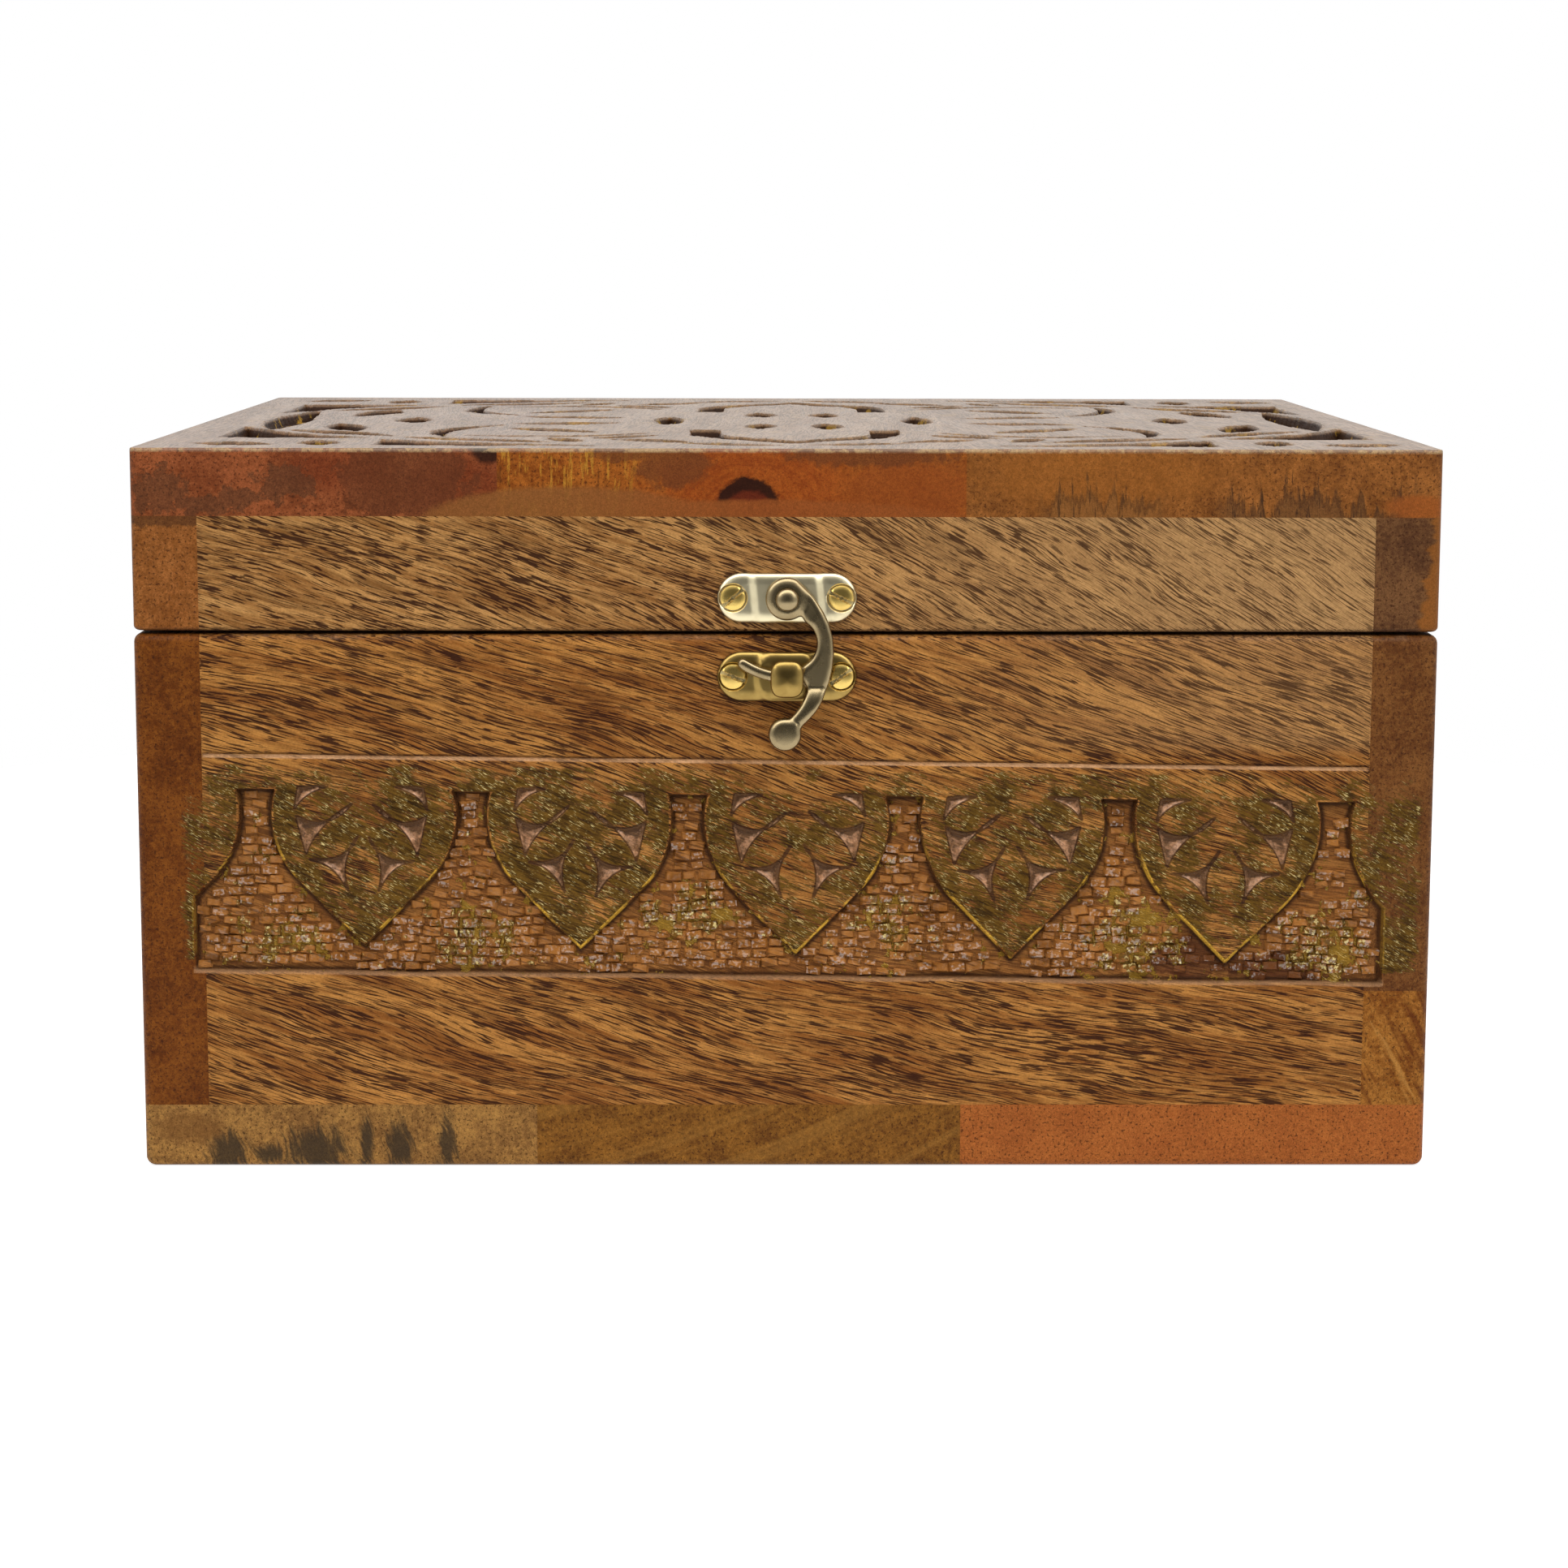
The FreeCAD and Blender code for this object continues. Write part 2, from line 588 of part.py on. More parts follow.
def lid_boards():
    """The carved top, glued up from three staves."""
    left_joint = f"(sizes.lid_left_width - {HALF_WIDTH})"
    right_joint = f"({HALF_WIDTH} - sizes.lid_right_width)"
    spans = {
        "lid_board_left": (f"-{HALF_WIDTH}", left_joint),
        "lid_board_middle": (left_joint, right_joint),
        "lid_board_right": (right_joint, HALF_WIDTH),
    }
    cells = fuse("top_cells", *(top_cells(cell) for cell in TOP_CELLS))
    for name, (start, end) in spans.items():
        body = board(name, start, end, f"-{HALF_DEPTH}", HALF_DEPTH, LID_ROOF, TOP)
        edges = [f"-{HALF_DEPTH}", HALF_DEPTH]
        side = {"lid_board_left": -1, "lid_board_right": 1}.get(name)
        upper = [{"y": edge, "z": TOP} for edge in edges]
        if side:
            round_edges(body, "sizes.corner_round", *side_corners(side))
            upper = [{"x": HALF_WIDTH if side > 0 else f"-{HALF_WIDTH}", "z": TOP}]
        round_edges(body, "sizes.lid_upper_round", *upper)
        piece(name, cut(name, body, cells))


def top_cells(cell):
    """The tool that sinks one set of mirrored cells into the top."""
    along_from, across_from, corners = TOP_CELLS[cell]
    sketch = doc.addObject("Sketcher::SketchObject", f"{cell}_lines")
    place(sketch, "sizes.top_shift", "0", f"{TOP} - sizes.top_carving_depth")
    points = []
    for number in range(1, len(corners) + 1):
        along = f"sizes.{cell}_along_{number}"
        across = f"sizes.{cell}_across_{number}"
        x = f"({HALF_WIDTH} - {along})" if along_from == "end" else along
        y = f"({HALF_DEPTH} - {across})" if across_from == "edge" else across
        points.append((x, y))
    x_signs = ("", "-") if all(value(x) > 0 for x, y in points) else ("",)
    y_signs = ("", "-") if all(value(y) > 0 for x, y in points) else ("",)
    for x_sign in x_signs:
        for y_sign in y_signs:
            mirrored = []
            for number, (x, y) in enumerate(points, 1):
                after = points[number % len(points)]
                bend = bulge_bend((x, y), after, f"sizes.{cell}_bulge_{number}", x_sign != y_sign)
                mirrored.append((f"{x_sign}{x}", f"{y_sign}{y}", bend))
            outline(sketch, mirrored)
    tool = doc.addObject("Part::Extrusion", f"{cell}_cells")
    tool.Base = sketch
    tool.DirMode = "Normal"
    tool.Solid = True
    bind(tool, LengthFwd="2 * sizes.top_carving_depth")
    doc.recompute()
    return tool


def bulge_bend(start, end, bulge, mirrored):
    """The bend of a run that bulges by a size, to its left or, if that is less than nothing, to its right."""
    if value(bulge) == 0:
        return None
    chord = f"(({end[0]} - {start[0]}) ^ 2 + ({end[1]} - {start[1]}) ^ 2)"
    radius = f"abs({chord} / 8 / {bulge} + {bulge} / 2)"
    return f"-{radius}" if (value(bulge) < 0) != mirrored else radius


def hinge(side_name, middle, box_holes, lid_holes):
    """One butt hinge, let into the rim of the box and of the lid."""
    half = "sizes.hinge_length / 2"
    inner = "(sizes.centre_knuckle_length / 2)"
    gap = "sizes.knuckle_gap / 2"
    start = f"({middle} - {half})"
    end = f"({middle} + {half})"
    spans = {
        "first": (start, f"({middle} - {inner} - {gap})"),
        "last": (f"({middle} + {inner} + {gap})", end),
        "centre": (f"({middle} - {inner} + {gap})", f"({middle} + {inner} - {gap})"),
    }
    room = "sizes.knuckle_radius + sizes.knuckle_gap"
    bore = "sizes.pin_radius + sizes.pin_play"
    box_gaps = [(spans["first"][1], spans["last"][0])]
    lid_gaps = [(start, spans["centre"][0]), (spans["centre"][1], end)]
    leaves = {
        "box": (f"{RIM} - sizes.leaf_thickness", ("first", "last"), box_gaps, box_holes),
        "lid": (LID_FLOOR, ("centre",), lid_gaps, lid_holes),
    }
    for part, (floor, own, others, holes) in leaves.items():
        name = f"{side_name}_hinge_{part}_leaf"
        size = {"Length": "sizes.hinge_length", "Width": "sizes.leaf_width", "Height": "sizes.leaf_thickness"}
        plate = solid("Box", f"{name}_plate", **size)
        place(plate, start, f"{HINGE_Y} - sizes.leaf_width", floor)
        rooms = [hinge_cylinder(f"{name}_room{index}", *span, room) for index, span in enumerate(others)]
        knuckles = [hinge_cylinder(f"{name}_{key}", *spans[key], "sizes.knuckle_radius") for key in own]
        whole = fuse(f"{name}_whole", cut(f"{name}_plate", plate, *rooms), *knuckles)
        pin_hole = hinge_cylinder(f"{name}_bore", start, end, bore)
        piece(name, cut(name, whole, pin_hole, *holes))
    piece(f"{side_name}_hinge_pin", hinge_cylinder(f"{side_name}_pin", start, end, "sizes.pin_radius"))


def hinge_cutters(side_name, middle):
    """What the wood loses for one hinge: the barrel's groove and the leaves' mortises."""
    start = f"({middle} - sizes.hinge_length / 2 - sizes.mortise_play)"
    end = f"({middle} + sizes.hinge_length / 2 + sizes.mortise_play)"
    groove = hinge_cylinder(f"{side_name}_groove", start, end, "sizes.knuckle_radius + sizes.knuckle_room")
    mortises = {}
    for part, floor in (("box", f"{RIM} - sizes.leaf_thickness"), ("lid", LID_FLOOR)):
        mortise = solid(
            "Box",
            f"{side_name}_{part}_mortise",
            Length=f"{end} - {start}",
            Width="sizes.leaf_width + sizes.mortise_play",
            Height="sizes.leaf_thickness",
        )
        place(mortise, start, f"{HINGE_Y} - sizes.leaf_width - sizes.mortise_play", floor)
        mortises[part] = (groove, mortise)
    return mortises


def latch_plate(name, height, holes):
    """A brass plate with round ends and a pressed-up middle."""
    width = "sizes.plate_width"
    half_width = f"{width} / 2"
    thickness = "sizes.plate_thickness"
    straight = f"(sizes.plate_length - {width})"
    middle = solid("Box", f"{name}_middle", Length=straight, Width=width, Height=thickness)
    place(middle, f"-{straight} / 2", f"-{HALF_DEPTH}", f"{height} - {half_width}", TO_THE_FRONT)
    ends = [
        front_cylinder(f"{name}_end{side}", f"{sign}{straight} / 2", height, "0", thickness, half_width)
        for side, sign in enumerate(("-", ""))
    ]
    rise = solid(
        "Wedge",
        f"{name}_rise",
        Xmin="-sizes.plate_rise_length / 2",
        Xmax="sizes.plate_rise_length / 2",
        X2min="sizes.plate_rise_slope - sizes.plate_rise_length / 2",
        X2max="sizes.plate_rise_length / 2 - sizes.plate_rise_slope",
        Ymin="0",
        Ymax="sizes.plate_rise",
        Zmin=f"-{half_width}",
        Zmax=half_width,
        Z2min=f"-{half_width}",
        Z2max=half_width,
    )
    place(rise, "0", f"-{HALF_DEPTH} - {thickness}", height, FreeCAD.Rotation(Z_AXIS, 180))
    piece(name, cut(name, fuse(f"{name}_whole", middle, *ends, rise), *holes))


def latch_rivet():
    """The hook's pivot: a stem through the plate and the hook under a domed head."""
    stem = front_cylinder("rivet_stem", "0", PIVOT_Z, "sizes.stem_setback", HEAD_FLOOR, "sizes.rivet_radius")
    rise = "sizes.rivet_head_height"
    dome_radius = f"((sizes.rivet_head_radius ^ 2 + {rise} ^ 2) / (2 * {rise}))"
    ball = solid("Sphere", "rivet_ball", Radius=dome_radius)
    place(ball, "0", f"-{HALF_DEPTH} - {HEAD_FLOOR} - {rise} + {dome_radius}", PIVOT_Z)
    head_end = f"({HEAD_FLOOR} + {rise})"
    blank = front_cylinder("rivet_blank", "0", PIVOT_Z, HEAD_FLOOR, head_end, "sizes.rivet_head_radius")
    dome = doc.addObject("Part::Common", "rivet_dome")
    dome.Base = blank
    dome.Tool = ball
    piece("hook_rivet", fuse("rivet_whole", stem, dome))


def swing_hook():
    """The flat hook: eye, bowed arm, curved prong and a tail with a round end."""
    body = new_body("swing_hook_body")
    eye = "sizes.hook_eye_radius"
    outer = f"({REACH} + sizes.prong_width / 2)"
    inner = f"({REACH} - sizes.prong_width / 2)"
    root = "(sizes.post_radius + sizes.prong_play)"
    neck_x = "(sizes.hook_bow - sizes.hook_neck_inset)"
    neck_z = f"({REACH} + sizes.hook_neck_drop)"
    tail_x = f"({neck_x} - sizes.hook_tail_width)"
    ball_z = f"({REACH} + sizes.hook_ball_drop)"
    ball = "sizes.hook_ball_radius"
    bow_inside = "(sizes.hook_bow - sizes.hook_arm_width)"
    bow_middle = f"(({eye} * sin({ARM_INNER_TURN}) + {inner}) / 2)"

    def on_ball(turn):
        return f"{ball} * cos({turn}) - sizes.hook_ball_side", f"{ball} * sin({turn}) - {ball_z}"

    def raised(name):
        return new_sketch(body, name, "XZ_Plane", f"{HALF_DEPTH} + {HOOK_BACK}")

    def lifted(corners):
        return [(x, f"{PIVOT_Z} + {z}", bend) for x, z, bend in corners]

    def on_arc(x, radius):
        return f"-sqrt({radius} ^ 2 - ({x}) ^ 2)"

    arm = lifted(
        [
            (f"{eye} * cos({ARM_OUTER_TURN})", f"{eye} * sin({ARM_OUTER_TURN})", "sizes.hook_bow_radius"),
            ("sizes.hook_bow", "-sizes.hook_bow_drop", "sizes.hook_heel_radius"),
            (neck_x, f"-{neck_z}", "sizes.hook_tail_outer_radius"),
            (*on_ball(TAIL_OUTER_TURN), None),
            (*on_ball(TAIL_INNER_TURN), "-sizes.hook_tail_inner_radius"),
            (tail_x, f"-{neck_z}", None),
            (root, on_arc(root, outer), None),
            (root, on_arc(root, inner), "-sizes.hook_arm_inner_radius"),
            (bow_inside, f"-{bow_middle}", "-sizes.hook_arm_inner_radius"),
            (f"{eye} * cos({ARM_INNER_TURN})", f"-{eye} * sin({ARM_INNER_TURN})", None),
        ]
    )
    prong = lifted(
        [
            (root, on_arc(root, inner), inner),
            ("-sizes.prong_tip", on_arc("sizes.prong_tip", inner), None),
            ("-sizes.prong_tip", on_arc("sizes.prong_tip", outer), f"-{outer}"),
            (root, on_arc(root, outer), None),
        ]
    )
    thickness = "sizes.hook_thickness"
    pad(body, circle(raised("hook_eye"), "0", PIVOT_Z, eye), thickness)
    pad(body, outline(raised("hook_arm"), arm), thickness)
    pad(body, circle(raised("hook_ball"), "-sizes.hook_ball_side", f"{PIVOT_Z} - {ball_z}", ball), thickness)
    pad(body, outline(raised("hook_prong"), prong), thickness)
    bore = new_sketch(body, "hook_bore", "XZ_Plane", f"{HALF_DEPTH} + {HOOK_BACK} + {thickness}")
    circle(bore, "0", PIVOT_Z, "sizes.rivet_radius + sizes.hook_bore_play")
    pocket(body, bore, thickness)
    piece("swing_hook", body)


def catch_post():
    """The post that the prong passes: a round stem, slotted for the prong, under a square knob."""
    knob_end = f"({HEAD_FLOOR} + sizes.knob_thickness)"
    stem = front_cylinder("post_stem", "0", CATCH_Z, "sizes.stem_setback", HEAD_FLOOR, "sizes.post_radius")
    half_slot = "(sizes.prong_width / 2 + sizes.prong_play)"
    slot = (PLATE_TOP, HEAD_FLOOR)
    outer = front_cylinder("slot_outer", "0", PIVOT_Z, *slot, f"{REACH} + {half_slot}")
    inner = front_cylinder("slot_inner", "0", PIVOT_Z, *slot, f"{REACH} - {half_slot}")
    knob = new_body("catch_knob_body")
    sketch = new_sketch(knob, "knob_face", "XZ_Plane", f"{HALF_DEPTH} + {HEAD_FLOOR}")
    left, right = "-sizes.knob_width / 2", "sizes.knob_width / 2"
    low, high = f"{CATCH_Z} - sizes.knob_height / 2", f"{CATCH_Z} + sizes.knob_height / 2"
    outline(sketch, rectangle(left, right, low, high))
    pad(knob, sketch, "sizes.knob_thickness")
    corners = [{"x": x, "z": z} for x in (left, right) for z in (low, high)]
    round_edges(knob, "sizes.knob_corner_round", *corners)
    face = f"-{HALF_DEPTH} - {knob_end}"
    round_edges(knob, "sizes.knob_edge_round", {"y": face, "x": left})
    slotted = cut("post_stem", stem, cut("post_slot", outer, inner))
    piece("catch_post", fuse("catch_post_whole", slotted, knob))


def build():
    """Every piece of the box."""
    plate_screw = slotted_screw("plate_screw", "plate_screw")
    plate_hole = screw("plate_screw_hole", "plate_screw", "sizes.screw_play")
    hinge_screw = slotted_screw("hinge_screw", "hinge_screw")
    hinge_hole = screw("hinge_screw_hole", "hinge_screw", "sizes.screw_play")

    front_holes = {}
    face = f"-{HALF_DEPTH} - sizes.plate_thickness"
    for name, height in (("hook_plate_screws", PIVOT_Z), ("catch_plate_screws", CATCH_Z)):
        places = [f"{sign}sizes.plate_screw_spacing / 2" for sign in ("-", "")]
        screws = []
        front_holes[name] = []
        for x, turn in zip(places, PLATE_SCREW_TURNS[name]):
            spun = TO_THE_FRONT * FreeCAD.Rotation(Z_AXIS, turn)
            screws.append(copy(name, plate_screw, x, face, height, spun))
            front_holes[name].append(copy(f"{name}_hole", plate_hole, x, face, height, TO_THE_FRONT))
        group(name, *screws)

    wood_cuts = {"box": [], "lid": []}
    for side_name, sign in (("left", "-"), ("right", "")):
        middle = f"({sign}({HALF_WIDTH} - sizes.hinge_end_distance))"
        mortises = hinge_cutters(side_name, middle)
        holes = {}
        for part, level, turn in (("box", RIM, UPRIGHT), ("lid", LID_FLOOR, UPSIDE_DOWN)):
            name = f"{side_name}_hinge_{part}_screws"
            screws = []
            holes[part] = []
            for step, spin in zip(("-", "+"), HINGE_SCREW_TURNS):
                x = f"{middle} {step} sizes.hinge_screw_spacing / 2"
                y = f"{HINGE_Y} - sizes.hinge_screw_setback"
                spun = turn * FreeCAD.Rotation(Z_AXIS, spin)
                screws.append(copy(name, hinge_screw, x, y, level, spun))
                holes[part].append(copy(f"{name}_hole", hinge_hole, x, y, level, turn))
            group(name, *screws)
            wood_cuts[part] += [*mortises[part], *holes[part]]
        hinge(side_name, middle, holes["box"], holes["lid"])

    base_boards()
    box_walls(wood_cuts["box"], front_holes["catch_plate_screws"])
    lid_rails(wood_cuts["lid"], front_holes["hook_plate_screws"])
    lid_boards()

    bore = "sizes.rivet_radius + sizes.screw_play"
    rivet_hole = front_cylinder("rivet_hole", "0", PIVOT_Z, "0", PLATE_TOP, bore)
    post_bore = "sizes.post_radius + sizes.screw_play"
    post_hole = front_cylinder("post_hole", "0", CATCH_Z, "0", PLATE_TOP, post_bore)
    latch_plate("hook_plate", PIVOT_Z, [rivet_hole, *front_holes["hook_plate_screws"]])
    latch_plate("catch_plate", CATCH_Z, [post_hole, *front_holes["catch_plate_screws"]])
    latch_rivet()
    swing_hook()
    catch_post()
    doc.recompute()


def write():
    """Checks every object and writes each piece to its own file."""
    for item in doc.Objects:
        if {"Invalid", "Error"} & set(item.State):
            raise RuntimeError(f"{item.Label} did not build: {item.State}")
    os.makedirs("parts", exist_ok=True)
    for label, item in pieces.items():
        if item.Shape.isNull() or not item.Shape.isValid():
            raise RuntimeError(f"{label} has no valid shape")
        item.Shape.exportStep(f"parts/{label}.step")


build()
write()
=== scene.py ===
"""Looks of a carved wooden jewelry box: its boards, carving, worn gilding, brass latch and studio."""
import math
import random

import bmesh
import bpy
import numpy as np
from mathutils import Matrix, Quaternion, Vector, geometry


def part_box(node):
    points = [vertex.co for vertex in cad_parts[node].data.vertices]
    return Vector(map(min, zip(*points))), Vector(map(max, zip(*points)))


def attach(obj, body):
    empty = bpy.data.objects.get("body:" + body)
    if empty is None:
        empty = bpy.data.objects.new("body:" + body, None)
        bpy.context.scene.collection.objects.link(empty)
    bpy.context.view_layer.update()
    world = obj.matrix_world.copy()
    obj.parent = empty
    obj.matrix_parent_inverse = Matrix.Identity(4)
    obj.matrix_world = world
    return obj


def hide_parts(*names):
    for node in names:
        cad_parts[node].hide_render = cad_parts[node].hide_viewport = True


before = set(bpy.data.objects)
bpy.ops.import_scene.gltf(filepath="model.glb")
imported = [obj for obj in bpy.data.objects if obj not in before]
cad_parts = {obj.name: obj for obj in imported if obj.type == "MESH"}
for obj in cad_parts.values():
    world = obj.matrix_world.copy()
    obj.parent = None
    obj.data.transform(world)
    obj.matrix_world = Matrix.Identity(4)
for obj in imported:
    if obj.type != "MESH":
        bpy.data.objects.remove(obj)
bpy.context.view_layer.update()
MM = 0.001


def span(node):
    """A solid's lower and upper corners in millimetres."""
    return tuple([side / MM for side in corner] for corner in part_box(node))


FACE = span("front_board")[0][1]
RIM = span("front_board")[1][2]
ROOF, TOP = span("lid_board_left")[0][2], span("lid_board_left")[1][2]
HALF_WIDTH = span("right_side_upper_board")[1][0]
HALF_DEPTH = span("right_side_upper_board")[1][1]
PIVOT_Z = (span("hook_plate")[0][2] + span("hook_plate")[1][2]) / 2
CATCH_Z = (span("catch_plate")[0][2] + span("catch_plate")[1][2]) / 2

bl_info = {
    "name": "Carved jewelry box",
    "version": (1, 0, 0),
    "blender": (4, 5, 0),
    "location": "View3D > Sidebar > Jewelry Box",
    "description": "Dresses the boards, carving and brass latch of a wooden jewelry box",
    "category": "Object",
}


def shade(code):
    """A colour as it looks on screen, turned into the linear values that shaders take."""
    parts = [int(code[at:at + 2], 16) / 255 for at in (1, 3, 5)]
    return tuple(p / 12.92 if p <= 0.04045 else ((p + 0.055) / 1.055) ** 2.4 for p in parts)


def length(name, description, default):
    """A size for the sidebar, given in millimetres."""
    return bpy.props.FloatProperty(name=name, description=description, default=default * MM, unit="LENGTH")


def tint(name, description, code):
    """A colour for the sidebar, given by its code."""
    return bpy.props.FloatVectorProperty(
        name=name, description=description, default=shade(code), subtype="COLOR", size=3, min=0, max=1
    )


WOOD_SHADES = ("light", "dark", "end_light", "end_dark")
# Each board's wood: the axes along the grain, across it and through it, how its lines slant and bend, and its
# shades along the grain and on its end grain.
WOODS = {
    "front_wood": ("xzy", 0.34, 0.0004, "#b67e3e", "#845020", "#6b4220", "#5a3416"),
    "back_wood": ("xzy", 0.25, -0.0003, "#b17b44", "#845328", "#6b4220", "#5a3416"),
    "lid_front_rail_wood": ("xzy", 0.46, 0.0009, "#bb8a50", "#8b5d2e", "#6b4220", "#5a3416"),
    "lid_back_rail_wood": ("xzy", 0.30, 0.0004, "#b78650", "#8a5c31", "#6b4220", "#5a3416"),
    "left_side_wood": ("yzx", 0.16, 0.0005, "#9c6733", "#76471f", "#804814", "#592b06"),
    "right_upper_wood": ("yzx", -0.14, 0.0004, "#9c6a38", "#7a4c24", "#805227", "#5c3414"),
    "right_lower_wood": ("yzx", 0.10, 0.0, "#a06c33", "#7c4a1c", "#a86f2d", "#74400f"),
    "lid_left_rail_wood": ("yzx", 0.14, 0.0003, "#9f6d3c", "#7d502a", "#a06430", "#7c471b"),
    "lid_right_rail_wood": ("yzx", -0.20, 0.0, "#99683a", "#754a26", "#754f2e", "#52331d"),
    "lid_left_wood": ("yxz", 0.05, 0.0004, "#9a6c44", "#7c5030", "#95522d", "#71391b"),
    "lid_middle_wood": ("yxz", -0.06, 0.0003, "#a27548", "#835831", "#a76020", "#7a3d0e"),
    "lid_right_wood": ("yxz", 0.08, -0.0003, "#9d7045", "#7f5630", "#975e2a", "#6d3f18"),
    "base_left_wood": ("yxz", 0.05, 0.0, "#98693a", "#7a5029", "#ab7d40", "#7b552b"),
    "base_middle_wood": ("yxz", -0.04, 0.0, "#8e6232", "#704724", "#8f5f22", "#643d12"),
    "base_right_wood": ("yxz", 0.03, 0.0, "#a8683a", "#8a4d22", "#a9622b", "#9a5524"),
}


class BoxSizes(bpy.types.PropertyGroup):
    """Sizes of the carving and the punched ground."""

    carving_depth: length("Carving depth", "How far the ground lies below the shields", 1.6)
    wall_run: length("Wall run", "How far a carved wall leans out over its depth", 0.6)
    cut_depth: length("Cut depth", "Depth of the cuts between the leaves on a shield", 1.05)
    band_lower: length("Band's lower edge", "Height of the carved band's lower edge", 38.2)
    band_upper: length("Band's upper edge", "Height of the tops of the gaps between shields", 75.0)
    shield_tip: length("Shield tip", "Height of the shields' lower tips", 43.5)
    shield_widest: length("Shield's widest point", "Height at which the shields are widest", 70.2)
    shield_gap: length("Shield gap", "Width of the gap between two shields", 6.4)
    groove_height: length("Groove height", "Height of the scribed line above the shields", 81.8)
    mark_length: length("Mark length", "Length of one punched brick of the ground", 3.3)
    mark_width: length("Mark width", "Width of one punched brick of the ground", 1.85)
    mark_height: length("Mark height", "How far the bricks stand above the grooves between them", 0.34)
    top_depth: length("Top carving depth", "How far the ground of the carved top is sunk", 2.2)
    top_shift: length("Top shift", "How far the pattern of the top sits to the right", 2.0)


class BoxColours(bpy.types.PropertyGroup):
    """Colours of the woods, the gilding, the brass and the floor."""

    pore: tint("Pores", "The short dark lines in the long grain", "#301507")
    raw: tint("Raw cuts", "Fresh wood in the cuts of the shields", "#cd9a72")
    gilding: tint("Gilding", "Worn olive gold paint on the shields", "#624716")
    # Glints: painted highlights, bright specks laid on flakes of the metal paint.
    glint: tint("Gilding glints", "Bright flakes in the gold paint", "#d3c081")
    gilt_edge: tint("Gilded edges", "Gold paint left on the shields' lower edges", "#c99c38")
    plate_brass: tint("Upper plate", "Pale brass of the hook's plate", "#d6cba8")
    catch_brass: tint("Lower plate", "Yellow brass of the catch", "#987f47")
    hook_brass: tint("Hook", "Antique brass of the hook", "#928262")
    screw_brass: tint("Screws", "Bright brass of the screws", "#d6b767")
    hinge_brass: tint("Hinges", "Plain brass of the hinges", "#b39556")
    floor: tint("Floor", "The studio's floor", "#f2f2f2")
    for _slot, _wood in WOODS.items():
        for _part, _code in zip(WOOD_SHADES, _wood[3:]):
            _words = f"{_slot} {_part}".replace("_", " ")
            __annotations__[f"{_slot}_{_part}"] = tint(_words.title(), f"Shade of the {_words}", _code)
    del _slot, _wood, _part, _code, _words


# Height in millimetres of a full step of relief, how little waxed wood shines, and where end grain begins.
BUMP_HEIGHT = 0.25
WOOD_SHINE = 0.1
END_GRAIN = (HALF_DEPTH - 1.8, HALF_DEPTH - 0.6)


class Wire:
    """A value that flows through a material and takes part in arithmetic."""

    def __init__(self, tree, socket):
        self.tree = tree
        self.socket = socket

    def out(self, name):
        """Another output of the same node."""
        return Wire(self.tree, self.socket.node.outputs[name])

    def math(self, operation, *values):
        """One step of arithmetic."""
        return self.tree.add("ShaderNodeMath", {"operation": operation}, dict(enumerate(values)))

    def __add__(self, other):
        return self.math("ADD", self, other)

    def __radd__(self, other):
        return self.math("ADD", other, self)

    def __sub__(self, other):
        return self.math("SUBTRACT", self, other)

    def __rsub__(self, other):
        return self.math("SUBTRACT", other, self)

    def __mul__(self, other):
        return self.math("MULTIPLY", self, other)

    def __truediv__(self, other):
        return self.math("DIVIDE", self, other)

    def __pow__(self, other):
        return self.math("POWER", self, other)

    def __abs__(self):
        return self.math("ABSOLUTE", self)

    def most(self, other):
        """The larger of two values."""
        return self.math("MAXIMUM", self, other)


